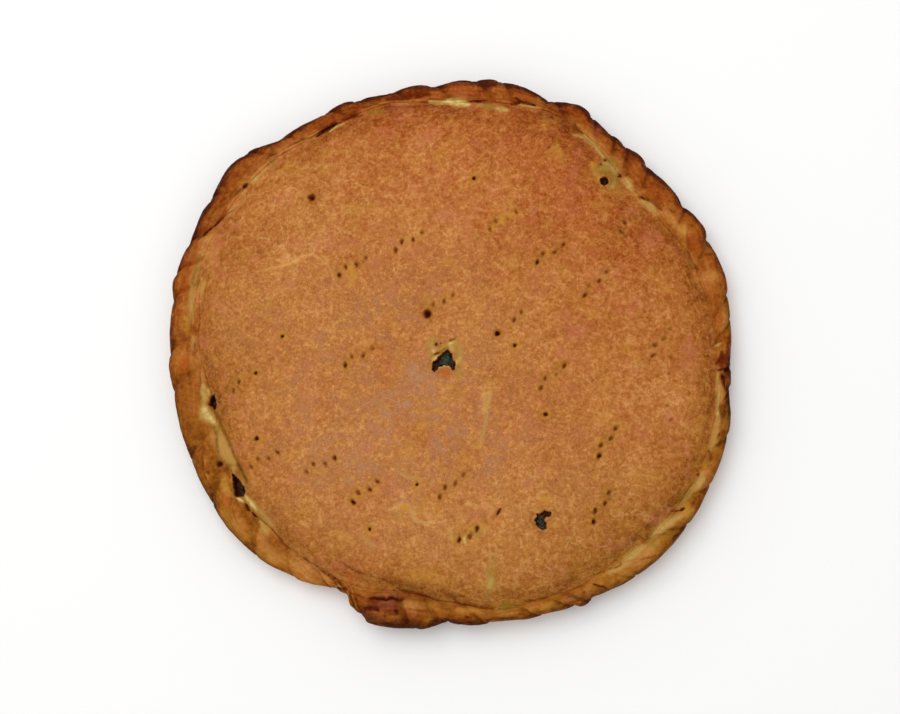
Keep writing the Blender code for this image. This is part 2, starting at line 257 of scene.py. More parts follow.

# How much painted shade darkens the cross folds of the rope as lines, once round from +X
FOLD_DARKNESS = (
    (0.0, 0.3), (15.0, 0.3), (25.0, 0.5), (60.0, 0.55), (80.0, 0.45), (110.0, 0.35), (140.0, 0.3),
    (165.0, 0.12), (200.0, 0.15), (230.0, 0.2), (250.0, 1.0), (262.0, 0.8), (272.0, 0.35),
    (285.0, 0.5), (292.0, 0.2), (300.0, 0.5), (312.0, 0.4), (330.0, 0.5), (340.0, 0.3),
)

# How much pale crumb shows on the lid where there is neither flour nor painted sheen
CRUMB_LEVEL = 0.45

# Where the lid shows a net of fine pale cracks: place, size and strength
CRACKLE_LEVEL = 0.25
CRACKLE_PATCHES = (
    (-85.0, 70.0, 45.0, 0.7), (-20.0, 95.0, 40.0, 0.4), (110.0, -20.0, 40.0, 0.4),
    (40.0, -125.0, 42.0, 0.6), (95.0, -95.0, 35.0, 0.5), (60.0, 20.0, 40.0, 0.3),
)

# Burnt outermost edge: angle, how far in it reaches, how dark it is
EDGE_BURN = (
    (0.0, 2.6, 0.75), (4.0, 2.2, 0.65), (14.0, 2.0, 0.6), (24.0, 2.5, 0.65), (30.0, 3.5, 0.8),
    (45.0, 4.2, 0.9), (62.0, 5.0, 1.0), (75.0, 5.0, 1.0), (84.0, 5.2, 0.95), (92.0, 4.2, 0.9),
    (98.0, 5.2, 1.0), (104.0, 4.8, 1.0), (114.0, 4.4, 1.0), (128.0, 4.4, 1.0), (138.0, 5.0, 1.0),
    (146.0, 4.8, 1.0), (156.0, 4.4, 0.9), (166.0, 3.2, 0.65), (180.0, 2.6, 0.45), (200.0, 1.8, 0.35),
    (215.0, 1.8, 0.55), (232.0, 1.8, 0.55), (240.0, 1.0, 0.15), (247.0, 0.6, 0.05), (251.0, 1.2, 0.45),
    (260.0, 2.2, 0.9), (266.0, 2.2, 0.9), (272.0, 3.0, 0.9), (280.0, 2.6, 0.75), (297.0, 2.1, 0.35),
    (308.0, 2.6, 0.55), (322.0, 2.0, 0.38), (335.0, 1.4, 0.25), (345.0, 2.6, 0.65), (355.0, 3.4, 1.0),
)

# What each kind of mark does: relief in millimetres, then what it adds to the tints
MARK_KINDS = {
    # The crease and gash kinds darken their sunk lines with painted shade, and the shade kind is a painted
    # band of shade
    "crease": (-0.7, {"stain": 0.55, "scorch": 0.2}),
    "gash": (-1.2, {"stain": 0.8, "scorch": 0.75}),
    "shade": (-0.5, {"toast": 0.16}),
    "dim": (-0.1, {"toast": 0.22}),
    "burn": (-0.1, {"stain": 0.6, "scorch": 0.4}),
    "maroon": (-0.1, {"stain": 1.0}),
    "red": (0.15, {"blush": 0.6}),
    "russet": (0.1, {"blush": 0.2, "redness": 0.4}),
    "golden": (0.25, {"toast": -0.22, "redness": -0.25, "honey": 0.25}),
    "tan": (0.35, {"toast": -0.12, "honey": 0.4}),
    "pale": (0.25, {"pale": 0.7}),
    "cream": (0.25, {"pale": 1.0}),
    "green": (0.15, {"pale": 0.3, "olive": 0.5}),
    "olive": (0.0, {"olive": 0.7}),
    "moss": (-0.5, {"olive": 0.6, "stain": 0.35}),
    "crack": (-0.12, {"toast": -0.34, "redness": -0.1}),
    "ochre": (0.1, {"honey": 1.0}),
}

# Broad tints of the rope, as the photograph shows them, once round from +X: kind, half the
# width in millimetres, how strong it is, and the places that it runs through, each an angle
# round the photograph's middle and a distance from it in pixels
RIM_TINTS = (
    ("golden", 1.8, 0.6, (4, 277), (11, 277)),
    ("olive", 1.2, 0.3, (5, 278), (10, 278)),
    ("golden", 4, 0.65, (16.5, 276), (17, 264)),
    ("russet", 3, 0.3, (12.5, 275), (14, 270)),
    ("dim", 3.5, 0.3, (12, 258), (15.5, 248)),
    ("olive", 1.6, 0.7, (19.5, 259), (21.5, 255.5)),
    ("russet", 4, 0.6, (23, 273), (26, 266)),
    ("dim", 3.5, 0.4, (23, 273), (26, 266)),
    ("golden", 3, 0.9, (27, 264), (33, 258)),
    ("russet", 3, 0.25, (36, 266), (40, 258)),
    ("tan", 1.5, 0.6, (40, 256), (40.5, 249)),
    ("golden", 2.5, 0.8, (34, 250), (40, 243), (45, 246)),
    ("golden", 3.5, 0.4, (45, 250), (50, 250)),
    ("golden", 3, 0.9, (50, 252), (55, 256), (60, 260), (63, 264)),
    ("olive", 3.4, 0.5, (46, 240), (50, 243), (52, 237)),
    ("green", 2, 0.5, (48, 246), (52, 246)),
    ("golden", 1.5, 0.7, (69.5, 260.5), (74, 259)),
    ("golden", 2.2, 0.6, (77, 250.5), (80, 251), (83.5, 250)),
    ("pale", 1.9, 0.2, (77, 250.8), (80, 251), (84, 250)),
    ("golden", 2, 0.6, (85, 256), (90, 262), (94, 260)),
    ("golden", 1.6, 0.9, (95, 257), (105, 257.5), (110, 259)),
    ("golden", 2, 0.5, (105.5, 252.5), (109, 253)),
    ("golden", 3, 0.9, (121, 256), (125, 260), (130, 265)),
    ("golden", 4, 0.8, (131, 262), (135, 262)),
    ("olive", 1.6, 0.35, (131, 265), (134, 262)),
    ("dim", 3, 0.4, (120, 250), (125, 247)),
    ("golden", 4, 0.8, (136, 262), (138, 258)),
    ("golden", 2.6, 0.9, (138.5, 262), (141, 266), (146, 268)),
    ("golden", 2, 0.8, (144, 260), (150, 264), (155, 271), (158, 268)),
    ("golden", 3.6, 0.6, (154, 267), (159, 258)),
    ("golden", 2.4, 0.9, (158, 268), (163, 266), (168, 262), (173, 260)),
    ("pale", 1.4, 0.5, (163.5, 256.5), (166.5, 256)),
    ("pale", 1.3, 0.35, (165, 268), (169, 264), (173, 261)),
    ("russet", 3, 0.7, (160, 281), (168, 277)),
    ("ochre", 2, 0.35, (172, 268), (175.5, 264)),
    ("pale", 1.2, 0.5, (176, 258), (179, 257)),
    ("russet", 3, 0.6, (181, 270), (183, 266)),
    ("golden", 1.8, 0.8, (180, 251), (186, 251)),
    ("pale", 1.6, 0.3, (187, 250), (190, 249)),
    ("golden", 3, 0.5, (196, 253), (201, 247)),
    ("golden", 3.4, 1.0, (200, 246), (207, 244)),
    ("tan", 3.0, 0.6, (198, 247), (203, 246), (207, 244)),
    ("pale", 2.8, 0.5, (199.5, 245.5), (203.5, 245.5), (207, 243)),
    ("olive", 1.3, 0.6, (206, 240), (210, 239), (214, 242)),
    ("ochre", 2.8, 0.5, (208, 257), (212, 262)),
    ("golden", 4, 0.9, (215, 277), (222, 274)),
    ("red", 2.2, 0.35, (219, 268), (220, 267)),
    ("golden", 2.6, 0.65, (214, 249), (219, 248), (225, 248)),
    ("pale", 1.9, 0.35, (214.5, 249), (219, 247.5), (224, 246.5)),
    ("golden", 4, 0.8, (223, 264), (224, 254)),
    ("golden", 5, 1, (226, 271), (232, 267), (238, 261), (242, 256)),
    ("golden", 2.5, 0.25, (229, 252), (236, 251), (243, 252)),
    ("golden", 4, 0.7, (246, 250), (252, 246), (257, 242)),
    ("red", 1.6, 0.4, (245.5, 249), (247, 246)),
    ("red", 1.8, 0.3, (251, 250), (253, 248)),
    ("golden", 3, 0.6, (258.5, 253), (262, 254), (265, 251)),
    ("pale", 1.8, 0.15, (259, 254), (263, 253)),
    ("olive", 1.8, 0.2, (258, 236), (261, 235.5)),
    ("red", 2.2, 0.5, (266.5, 260), (269, 261)),
    ("russet", 3, 0.8, (271, 264), (275, 264)),
    ("golden", 1.6, 0.8, (271, 256), (276, 257)),
    ("golden", 2.6, 0.4, (278, 266), (285, 270)),
    ("golden", 2.8, 0.8, (280, 257), (285, 258)),
    ("olive", 2.2, 0.55, (280.5, 256), (284, 257)),
    ("crease", 0.4, 0.5, (286.6, 272), (286.7, 265)),
    ("golden", 2.5, 0.8, (287, 268), (294, 272)),
    ("dim", 1.6, 0.5, (292, 273), (293.5, 273.5)),
    ("golden", 4, 0.5, (298, 275), (303, 272)),
    ("golden", 4, 0.9, (305, 279), (310, 281), (315, 281)),
    ("golden", 2.6, 0.9, (304, 268), (310, 271), (315, 272)),
    ("pale", 1.8, 0.45, (306, 270), (310, 272), (315, 272)),
    ("green", 4, 0.25, (278.5, 246), (280, 226)),
    ("olive", 3, 0.35, (297, 250), (301, 246)),
    ("golden", 4, 0.9, (316, 279), (321, 276), (326, 280)),
    ("olive", 2.4, 0.35, (317, 279), (320, 276), (324, 280)),
    ("tan", 2, 0.6, (326, 286), (327.5, 280)),
    ("golden", 3, 1, (327.5, 274), (331, 277), (335, 279)),
    ("pale", 1.6, 0.3, (328, 275), (331, 278), (335, 279)),
    ("ochre", 3, 0.25, (336, 282), (337.5, 278)),
    ("golden", 2.2, 0.6, (339, 277), (344, 274), (349, 272), (356, 268)),
    ("golden", 2.2, 0.8, (350, 276), (353, 273)),
    ("shade", 1.2, 0.4, (344, 267), (350, 266), (357, 261)),
    ("dim", 2, 0.5, (346, 280), (349, 277)),
)

# Creases and gashes darkened with painted shade, and other small marks of the rope and the groove, in the
# same form
RIM_MARKS = (
    ("maroon", 1.2, 0.6, (359.6, 277.8), (3.6, 278.2)),
    ("burn", 1, 0.8, (359.3, 271.5), (0.6, 271)),
    ("pale", 0.8, 0.5, (1.7, 264), (2.4, 270)),
    ("olive", 0.6, 0.6, (4.5, 280), (9.5, 281)),
    ("crease", 0.5, 0.5, (12.4, 276), (14.4, 278.6)),
    ("tan", 3, 0.35, (16.3, 266), (17, 276)),
    ("red", 1.2, 0.6, (20.2, 277), (20.8, 273)),
    ("red", 3, 0.25, (22.5, 267.5), (26.5, 272)),
    ("crease", 0.7, 0.6, (18.8, 262), (20.3, 256.7), (22.5, 257.5), (25, 262), (27.5, 266.5)),
    ("burn", 0.6, 0.6, (19, 262), (20.3, 260.3)),
    ("tan", 1.8, 0.55, (24.5, 257.5), (28.5, 260), (32, 257.5), (34.5, 252)),
    ("tan", 1.3, 0.5, (27.4, 263), (29, 268.5)),
    ("red", 2.6, 0.45, (28.8, 275), (31, 274)),
    ("crease", 0.6, 0.9, (32.3, 265), (33.5, 263.3), (34.1, 261)),
    ("shade", 2, 0.45, (23.5, 254.5), (27, 252.5), (30.5, 250.5), (33, 249)),
    ("crease", 0.6, 0.8, (34.2, 256), (36.5, 253), (38.5, 250), (39.4, 247.3)),
    ("pale", 1.8, 0.65, (34.9, 248.3), (36.6, 247.6), (38.5, 245.5)),
    ("pale", 1.7, 0.85, (42.2, 244.7), (44.8, 246.3)),
    ("crease", 0.5, 0.3, (40.2, 247.5), (42, 251), (44.8, 256.2)),
    ("maroon", 2.6, 0.35, (46.8, 262), (48.2, 267)),
    ("crease", 0.35, 0.35, (53, 262.5), (53.4, 267)),
    ("green", 2.4, 0.55, (47.2, 247.5), (49.5, 250.3), (51.8, 248.7)),
    ("green", 1.8, 0.7, (46.2, 233.5), (46.6, 238)),
    ("green", 1.6, 0.8, (49.4, 245), (50.8, 240), (51.4, 236)),
    ("olive", 2.6, 0.6, (50.8, 236.7), (50.5, 244.4), (50.2, 250.6)),
    ("green", 2.2, 0.6, (46.9, 228.9), (45.9, 232.0)),
    ("green", 1.8, 0.5, (48.8, 245.2), (47.0, 241.3)),
    ("ochre", 2.4, 0.45, (53.5, 238.1), (51.4, 233.4), (49.8, 228.5)),
    ("gash", 0.6, 0.9, (51.6, 248.1), (51.2, 248.4)),
    ("gash", 0.7, 0.8, (46.6, 244.5), (46.1, 247.2)),
    ("moss", 0.7, 0.8, (45.7, 250.9), (45.7, 252.7)),
    ("crease", 0.6, 0.8, (40.0, 244.9), (39.1, 246.9), (38.0, 250.8)),
    ("tan", 1.4, 0.7, (47.6, 243), (48.6, 240)),
    ("crease", 0.7, 0.7, (45.1, 254), (45.8, 251)),
    ("moss", 0.9, 0.7, (48.6, 243.5), (49.8, 245.5)),
    ("green", 1.2, 0.6, (50.4, 247), (51.3, 245)),
    ("crease", 0.6, 0.5, (46.2, 241), (46.9, 244)),
    ("golden", 1.6, 0.6, (52.4, 238), (53.2, 244)),
    ("tan", 1.1, 0.6, (45.6, 238), (46.2, 241)),
    ("red", 1.3, 0.4, (53, 240), (54, 243)),
    ("crease", 0.6, 0.6, (46.2, 247.2), (46.8, 245.8)),
    ("gash", 0.7, 0.8, (51.6, 242.3), (52.0, 242.6)),
    ("moss", 0.7, 0.8, (50.3, 250.2), (51.5, 248.5), (52.6, 246)),
    ("pale", 1.3, 0.55, (52.3, 249.3), (55, 252.5), (58, 253.8), (60.8, 252)),
    ("tan", 1.4, 0.7, (54.3, 257), (58, 260), (60.8, 262.5)),
    ("gash", 0.55, 0.6, (59, 257.2), (60.2, 258), (61.9, 260.2)),
    ("burn", 1.5, 0.8, (64.1, 268.8), (65.9, 267.2)),
    ("shade", 1.6, 0.4, (61.5, 253), (65, 255.5), (70, 257)),
    ("dim", 1.2, 0.7, (61.8, 263), (63.5, 264.3)),
    ("gash", 0.55, 0.8, (71.2, 263), (73, 262.4), (74.5, 262), (75.9, 264.4)),
    ("gash", 0.55, 0.85, (74.5, 262), (75.2, 259.5), (76.1, 256.8)),
    # Painted highlight along the edge beside these gashes
    ("tan", 1.0, 0.8, (69.8, 262), (72.5, 260.2), (74.4, 257.2), (75.6, 255.3)),
    ("pale", 0.6, 0.45, (70.5, 261.5), (72.5, 260), (74.4, 257)),
    ("pale", 1.8, 0.45, (77.2, 251.2), (79.2, 250.8)),
    ("olive", 2, 0.8, (80, 253.3), (82.5, 250)),
    ("gash", 0.5, 0.9, (81.8, 256.2), (83.2, 255), (84.5, 253.5), (85.5, 252)),
    ("cream", 2.0, 0.75, (86, 250.2), (88.2, 250.2), (90.5, 250.8)),
    ("pale", 1.1, 0.85, (90.5, 251.6), (92.5, 252), (94.6, 252)),
    ("crease", 0.5, 0.15, (79.5, 258.3), (83, 258.3), (85.4, 257.2)),
    ("red", 1, 0.8, (82.6, 258.5), (83.2, 263.5)),
    ("burn", 2.6, 1, (80.7, 273.5), (83.8, 271.5)),
    ("burn", 2, 0.6, (80.7, 273.5), (83.8, 271.5)),
    ("red", 1.5, 0.4, (86, 266), (89.5, 268)),
    ("maroon", 2.2, 0.6, (94.8, 265), (97.5, 263), (101, 262), (104, 263)),
    ("crease", 0.7, 0.9, (94.3, 261.2), (96.2, 259.5), (97.8, 259.3)),
    ("crease", 0.7, 0.85, (95, 250.2), (98, 250.7), (100, 252), (103, 254), (105, 256)),
    ("tan", 1, 0.5, (96.8, 256.5), (100, 257.5), (103.5, 260)),
    ("olive", 2, 0.6, (105.6, 252.5), (108.6, 254)),
    ("crease", 0.4, 0.5, (107.3, 256.2), (108.7, 254), (109, 252)),
    ("crease", 0.5, 0.55, (108.5, 262), (111, 264), (114, 266.5), (117, 270)),
    ("maroon", 0.9, 0.9, (110.4, 254.4), (112.5, 256), (114.7, 256.6)),
    ("gash", 0.95, 1, (116.2, 256), (118, 256.9), (119.2, 256.8), (121.4, 255.2)),
    # Painted highlight on the fold beside this gash
    ("cream", 0.7, 0.55, (114.7, 254), (116.5, 254.5), (118.2, 253.6)),
    ("pale", 0.6, 0.2, (118.2, 253.6), (120, 252.8), (122, 251.3)),
    ("golden", 0.9, 0.5, (121.5, 257), (123, 259.3), (125, 260.4)),
    ("crease", 0.5, 0.7, (122.4, 256), (123.6, 257.6), (124.1, 260), (126, 262), (128.2, 263.6)),
    ("maroon", 1.2, 0.75, (123.2, 269.8), (124, 270)),
    ("red", 1.2, 0.9, (126.5, 264.5), (127.4, 267.5)),
    ("olive", 1.4, 0.6, (132.8, 263), (134, 258)),
    ("crease", 0.6, 0.85, (130.8, 266), (132, 268), (133.2, 268.7)),
    ("burn", 1.8, 0.9, (141.2, 286), (143.2, 283.5)),
    ("crease", 0.45, 0.55, (138.4, 274), (140, 277), (141.6, 280.5)),
    ("pale", 1.5, 0.8, (137.2, 262), (138.7, 261.5)),
    ("tan", 0.7, 0.8, (139.1, 262), (139.8, 267), (141, 273.5)),
    ("tan", 0.5, 0.6, (138.1, 266), (139.4, 272)),
    ("gash", 0.8, 1, (140.1, 264.3), (141.1, 264)),
    ("crease", 0.6, 0.8, (140.9, 265), (142.5, 267.5), (144.5, 269.5), (146.6, 270.2)),
    ("crease", 0.9, 0.95, (144, 271.5), (145, 274), (146.3, 276.3)),
    ("olive", 1.1, 0.6, (148.4, 278), (150, 277)),
    ("crease", 0.5, 0.85, (147.8, 275.8), (150, 277.6)),
    ("crease", 0.6, 0.9, (145.2, 259.5), (147, 262), (148.5, 264), (150.5, 267)),
    ("gash", 0.45, 0.8, (149.4, 265.2), (152, 269.6), (154, 273.6), (155.4, 277.2)),
    ("pale", 0.6, 0.5, (146.3, 262.5), (148.2, 261.2)),
    ("olive", 0.8, 0.7, (158, 270), (161, 269), (165, 267.4), (170, 265), (173, 263)),
    ("green", 0.9, 0.75, (160.8, 265.4), (164, 264.6), (166, 263)),
    ("tan", 0.8, 0.5, (166, 263), (169, 261.5), (172, 260.5)),
    ("crease", 0.45, 0.55, (155.3, 269), (157, 267), (159, 266), (162, 263.5), (166, 262), (172, 259)),
    ("tan", 1.6, 0.65, (155, 263), (158, 258), (160, 254), (161.2, 252)),
    ("tan", 1.1, 0.8, (163, 257), (164.6, 257.5), (166.5, 256)),
    ("crease", 0.5, 0.55, (172, 258), (175, 257.4), (179, 256)),
    ("crease", 0.5, 0.6, (170.5, 262.4), (172.5, 261.2), (175.4, 260.2)),
    ("tan", 0.9, 0.6, (175.3, 257), (176.4, 256.5)),
    ("crease", 0.8, 0.5, (177.6, 255.7), (180, 255.3)),
    ("red", 2.6, 0.7, (180.8, 267), (182.5, 265)),
    ("maroon", 1.6, 0.25, (194.4, 271), (196, 273)),
    ("crease", 0.5, 0.7, (183, 251), (187, 251.2)),
    ("crease", 0.4, 0.4, (190.5, 270), (193.6, 266.5), (196, 267.3)),
    ("pale", 1.7, 0.4, (187.2, 248), (189.3, 249.3), (191.7, 251.3), (193, 256), (194.2, 257)),
    ("cream", 2.3, 0.7, (192.8, 251), (194.6, 249.3), (196, 246.4)),
    ("green", 1.2, 0.7, (196.4, 244), (197.6, 243), (199, 242.5)),
    ("pale", 0.8, 0.5, (188.3, 244.2), (189.7, 244.5)),
    ("moss", 1.0, 0.9, (193.6, 240), (197, 240.5), (200, 239), (204, 238.6), (208, 239), (212, 239.5)),
    ("olive", 2.0, 0.35, (196.8, 245), (200.5, 244.5), (204, 246.5), (207.5, 243.5)),
    ("tan", 2.2, 0.5, (202.2, 248), (204.2, 246)),
    ("moss", 0.8, 0.85, (197, 248), (199.5, 247.6), (202, 252), (204.5, 251.5)),
    ("crease", 0.4, 0.4, (195.2, 258), (197, 254)),
    ("crease", 0.5, 0.3, (181, 262), (185, 261.5), (189, 262.5)),
    ("tan", 1.2, 0.4, (180.5, 257), (186, 257.5)),
    ("crease", 0.5, 0.35, (197.4, 270), (198.6, 265.5), (199.2, 261)),
    ("crease", 0.9, 0.9, (201.0, 263.9), (202.4, 268.9), (204.6, 272.4), (206.9, 274.3)),
    ("crease", 0.7, 0.6, (206.9, 274.3), (208.8, 273.2), (209.2, 269.7)),
    ("moss", 0.7, 0.9, (206.0, 251.4), (206.9, 246.2), (207.5, 240.6), (209.2, 238.8)),
    ("moss", 0.7, 0.6, (198.2, 245.2), (201.0, 249.3), (203.0, 251.6)),
    ("moss", 0.7, 0.7, (192.0, 242.4), (195.4, 240.4), (199.5, 237.7), (204.7, 238.3)),
    ("moss", 0.6, 0.5, (204.7, 238.3), (208.0, 237.9), (212.6, 242.2)),
    ("cream", 1.2, 0.7, (214.9, 249.3), (216.3, 248.9), (218.5, 248.4)),
    ("cream", 1.1, 0.6, (214.0, 256.4), (215.2, 254.0)),
    ("tan", 0.7, 0.6, (203.2, 266.5), (205, 272), (207.4, 273.4)),
    ("crease", 0.5, 0.45, (203.6, 261), (204.8, 267), (206.4, 270.4), (208.6, 270.8)),
    ("crease", 0.5, 0.6, (213.4, 261), (214.2, 265), (214.6, 269)),
    ("crease", 0.7, 1, (200.8, 268), (201.1, 272)),
    ("gash", 0.6, 0.6, (205.7, 270.5), (206.2, 269.5)),
    ("tan", 0.9, 0.6, (206, 272.4), (208.3, 273)),
    ("green", 1.3, 0.8, (207.4, 244.8), (208.8, 247)),
    ("moss", 0.8, 0.7, (207, 240), (209, 241), (213, 240)),
    ("red", 1.8, 0.9, (212.8, 265), (213.8, 268)),
    ("red", 2.2, 0.4, (207.5, 256), (210.5, 254)),
    ("gash", 0.7, 0.95, (216.2, 254.5), (217.9, 254.1)),
    ("gash", 0.6, 0.95, (218.6, 254), (220, 253.2)),
    ("olive", 1.1, 0.75, (216.3, 248.2), (220, 248), (223, 248.8)),
    ("crease", 0.5, 0.7, (220, 252.4), (222, 250), (224.6, 249.2)),
    ("pale", 2.0, 0.45, (221.4, 253), (224.2, 256)),
    ("crease", 0.5, 0.6, (215.4, 267.5), (217, 270), (218.6, 272.4)),
    ("crease", 0.5, 0.5, (221.6, 266), (223.6, 270.5), (225.6, 276)),
    ("olive", 1, 0.5, (202.2, 278), (203, 277)),
    ("olive", 1.2, 0.5, (215.3, 276), (218.2, 278.5)),
    ("olive", 1.8, 0.5, (226, 275), (228, 273.5)),
    ("red", 1, 0.9, (231.6, 270), (232.4, 268.5)),
    ("red", 1, 0.9, (235, 267), (236, 265)),
    ("olive", 1.2, 0.2, (240, 260.5), (241, 259)),
    ("crease", 0.6, 0.8, (224.7, 249.4), (229.0, 252.3), (231.7, 251.1), (235.5, 251.3)),
    ("crease", 1.0, 1, (234.5, 251.2), (240.0, 250.9), (244.7, 254.9), (246.2, 257.4)),
    ("olive", 0.8, 0.5, (229.4, 249.7), (231.3, 249)),
    ("crease", 0.6, 0.85, (243.3, 261.6), (244.6, 259), (245.7, 256)),
    ("gash", 0.7, 0.8, (243.4, 262.2), (244.3, 261.2)),
    ("burn", 0.6, 0.5, (245.2, 260), (246, 258.6)),
    ("cream", 0.6, 0.5, (243.8, 258.6), (245.1, 256.4)),
    ("crease", 0.6, 0.9, (247, 258.4), (249, 257.8), (251, 257), (252.4, 256)),
    ("gash", 0.9, 0.8, (251.9, 256.1), (252.7, 254.4)),
    ("gash", 0.95, 1, (252.9, 254.4), (254.6, 252.4), (255.4, 253.1)),
    ("gash", 1.0, 1, (255.5, 252.1), (256.5, 248.5)),
    ("gash", 0.95, 0.9, (256.8, 249.6), (257.6, 249.8), (258.5, 250.0)),
    ("crease", 0.7, 0.8, (250.7, 261.6), (252.1, 259.0), (253.8, 257.0)),
    ("dim", 2.4, 0.6, (252.1, 260.2), (255.2, 256.0), (258.5, 252.6)),
    ("crease", 0.5, 0.6, (253.1, 263.3), (256.1, 259.9), (258.9, 256.3)),
    ("russet", 1.0, 0.6, (253.4, 264.4), (256.4, 261.2), (258.6, 258.2)),
    ("maroon", 1.6, 0.45, (251, 270), (252.5, 266.5), (254, 264)),
    ("gash", 1.0, 0.95, (251.2, 269.4), (252.4, 266.5), (254.2, 265.6)),
    ("crease", 0.8, 0.9, (255.4, 264.4), (257.0, 263.7), (257.8, 261.8)),
    ("gash", 1.0, 1, (257.9, 261.9), (258.4, 263.9)),
    ("tan", 0.5, 0.5, (255.6, 263.2), (257.1, 261.3)),
    ("crease", 0.4, 0.5, (256.0, 266.8), (257.8, 266.9), (259.4, 264.0)),
    ("tan", 0.9, 0.5, (256.4, 269.8), (258.0, 269.0), (259.2, 266.6)),
    ("burn", 0.9, 0.4, (259.7, 260.7), (260.2, 267.4), (259.9, 275.8)),
    ("gash", 0.8, 0.8, (251.3, 271.8), (252.0, 277.7)),
    ("tan", 0.8, 0.6, (252.8, 257.8), (254.4, 256.6), (256.2, 255.4)),
    ("dim", 1.0, 0.6, (252.2, 264.6), (254.4, 263), (256, 262)),
    ("burn", 0.8, 0.7, (258.9, 248.6), (259.5, 247.6)),
    ("crease", 0.6, 0.8, (260.5, 257.5), (263, 258), (265, 257.6)),
    ("maroon", 1.8, 0.15, (253.4, 257), (256, 254.5), (258, 253)),
    ("tan", 1.5, 0.3, (259.2, 256), (262, 255), (265, 253)),
    ("olive", 1.3, 0.35, (264.3, 251), (265.6, 253)),
    ("olive", 1.6, 0.4, (259.8, 250.5), (261.6, 249.5)),
    ("crease", 0.6, 0.95, (257, 240), (259, 240.5), (262, 241.6), (264.5, 243), (266.5, 245.5),
     (267.7, 248.3)),
    ("crease", 0.8, 0.75, (241.9, 234.8), (246.6, 236.6), (250.8, 235.2), (254.3, 235.1), (257.7, 238)),
    ("red", 2.0, 0.35, (244.3, 243.5), (246.9, 243.0)),
    ("olive", 1.8, 0.2, (257.5, 238), (262, 238.5)),
    ("shade", 2.8, 0.5, (266.5, 243), (270, 246)),
    ("crease", 1.1, 0.85, (271, 247.6), (273, 250.4), (275, 251.6), (277, 254), (279.6, 257)),
    ("shade", 1.6, 0.5, (270, 243.5), (273, 242)),
    ("burn", 0.8, 1, (273.2, 261.7), (274.1, 264)),
    ("tan", 1.2, 0.5, (271.5, 255.5), (276.8, 259.3)),
    ("moss", 0.8, 0.85, (279.2, 258.6), (282, 260), (285, 260.6), (286.6, 262)),
    ("crease", 0.4, 0.15, (286, 263), (286.4, 267), (286.2, 270.6)),
    ("crease", 0.5, 0.8, (286.8, 260), (288.5, 259), (290, 259.6), (292, 262)),
    ("crease", 0.6, 0.7, (295, 275), (297, 276.5), (299, 276)),
    ("maroon", 0.8, 0.4, (298.6, 273.2), (299.6, 272.8)),
    ("gash", 0.6, 0.7, (301.8, 270), (302.5, 274), (303.4, 279), (303.6, 282)),
    ("olive", 1, 0.5, (297.2, 271.5), (298, 270.5)),
    ("crease", 0.5, 0.6, (295, 262), (297, 264.2), (300, 265), (303, 264.4)),
    ("moss", 0.7, 0.75, (308, 258), (309.5, 262.3), (311, 264), (315, 266.6)),
    ("tan", 1.2, 0.7, (305.5, 268), (307, 271.2), (308.6, 271.4)),
    ("crease", 0.6, 0.9, (306.4, 266.8), (307.6, 269.4), (309, 270.4), (309.4, 267.5)),
    ("crease", 0.45, 0.5, (310.2, 271), (311.4, 275), (312.8, 277.5)),
    ("crease", 0.7, 0.8, (313, 280.3), (314.4, 284), (315.6, 287)),
    ("moss", 0.8, 0.6, (316.6, 275.4), (318.4, 272.4)),
    ("green", 2.1, 0.75, (311, 268.5), (313, 270.5), (315, 273.5)),
    ("olive", 0.9, 0.6, (308.5, 256), (309, 261)),
    ("olive", 1.8, 0.15, (277.5, 243), (279.6, 247)),
    ("pale", 1.8, 0.35, (279.6, 235), (280.2, 230)),
    ("green", 2.2, 0.7, (316.2, 277), (318, 272.2), (321, 272), (323.6, 276)),
    ("crease", 0.4, 0.3, (318.8, 274), (320, 278), (322, 282.3), (323.6, 285)),
    ("pale", 1.6, 0.5, (318.7, 271.5), (321.1, 274.8), (323.5, 278.1), (325.1, 282.3)),
    ("moss", 0.8, 0.9, (318.7, 273.4), (320.0, 278.2), (320.7, 284.4), (322.2, 289)),
    ("moss", 0.7, 0.8, (326.2, 268.6), (327.4, 272), (328.5, 274.9)),
    ("olive", 2.0, 0.5, (327.0, 281.9), (326.6, 287), (325.6, 289.2)),
    ("pale", 1.3, 0.4, (331.7, 281.2), (334.0, 282.0)),
    ("moss", 1.0, 0.6, (323.5, 274.5), (324.6, 275.4)),
    ("gash", 0.8, 0.8, (326.0, 278.0), (326.6, 279.4)),
    ("crease", 0.5, 0.6, (324.8, 270.5), (325.8, 277)),
    ("crease", 0.55, 0.9, (324.4, 270), (325.4, 275.5), (326, 278)),
    ("crease", 0.5, 0.6, (342.4, 279), (344.2, 281.4)),
    ("burn", 1.4, 0.4, (347, 278), (349.4, 276)),
    ("tan", 1.4, 0.8, (325.8, 284), (327.3, 288)),
    ("moss", 0.9, 0.95, (326.3, 269), (327.8, 270), (329.5, 272.6), (331.2, 273)),
    ("shade", 1.2, 0.5, (316, 267), (318, 268.4), (323, 267), (326, 265.5)),
    ("olive", 1.8, 0.7, (327, 275.3), (330, 277.3), (333, 280)),
    ("moss", 0.7, 0.7, (331.4, 274), (332.5, 275.6), (334.6, 275)),
    ("burn", 0.7, 0.7, (333.8, 275.2), (334.4, 275)),
    ("crease", 0.8, 0.9, (337.8, 280.4), (339, 279), (339.6, 275.8)),
    ("pale", 1.6, 0.4, (340, 276.8), (342, 277.5), (344.6, 276.3), (347.5, 274)),
    ("pale", 1.2, 0.4, (347.5, 273.5), (350, 271.3), (353, 269.6), (355.6, 268)),
    ("burn", 0.8, 0.4, (343, 280), (343.7, 280)),
    ("crease", 0.7, 0.7, (349.5, 277), (350, 280.5)),
    ("gash", 0.7, 0.9, (352.7, 277), (354, 274.6), (355.5, 273), (355.3, 277)),
    ("gash", 0.7, 0.95, (356.6, 268), (356.8, 276), (357.5, 281)),
    ("maroon", 2.6, 0.7, (357.8, 272), (359.6, 273)),
    ("burn", 0.7, 0.25, (358, 268), (358.3, 277)),
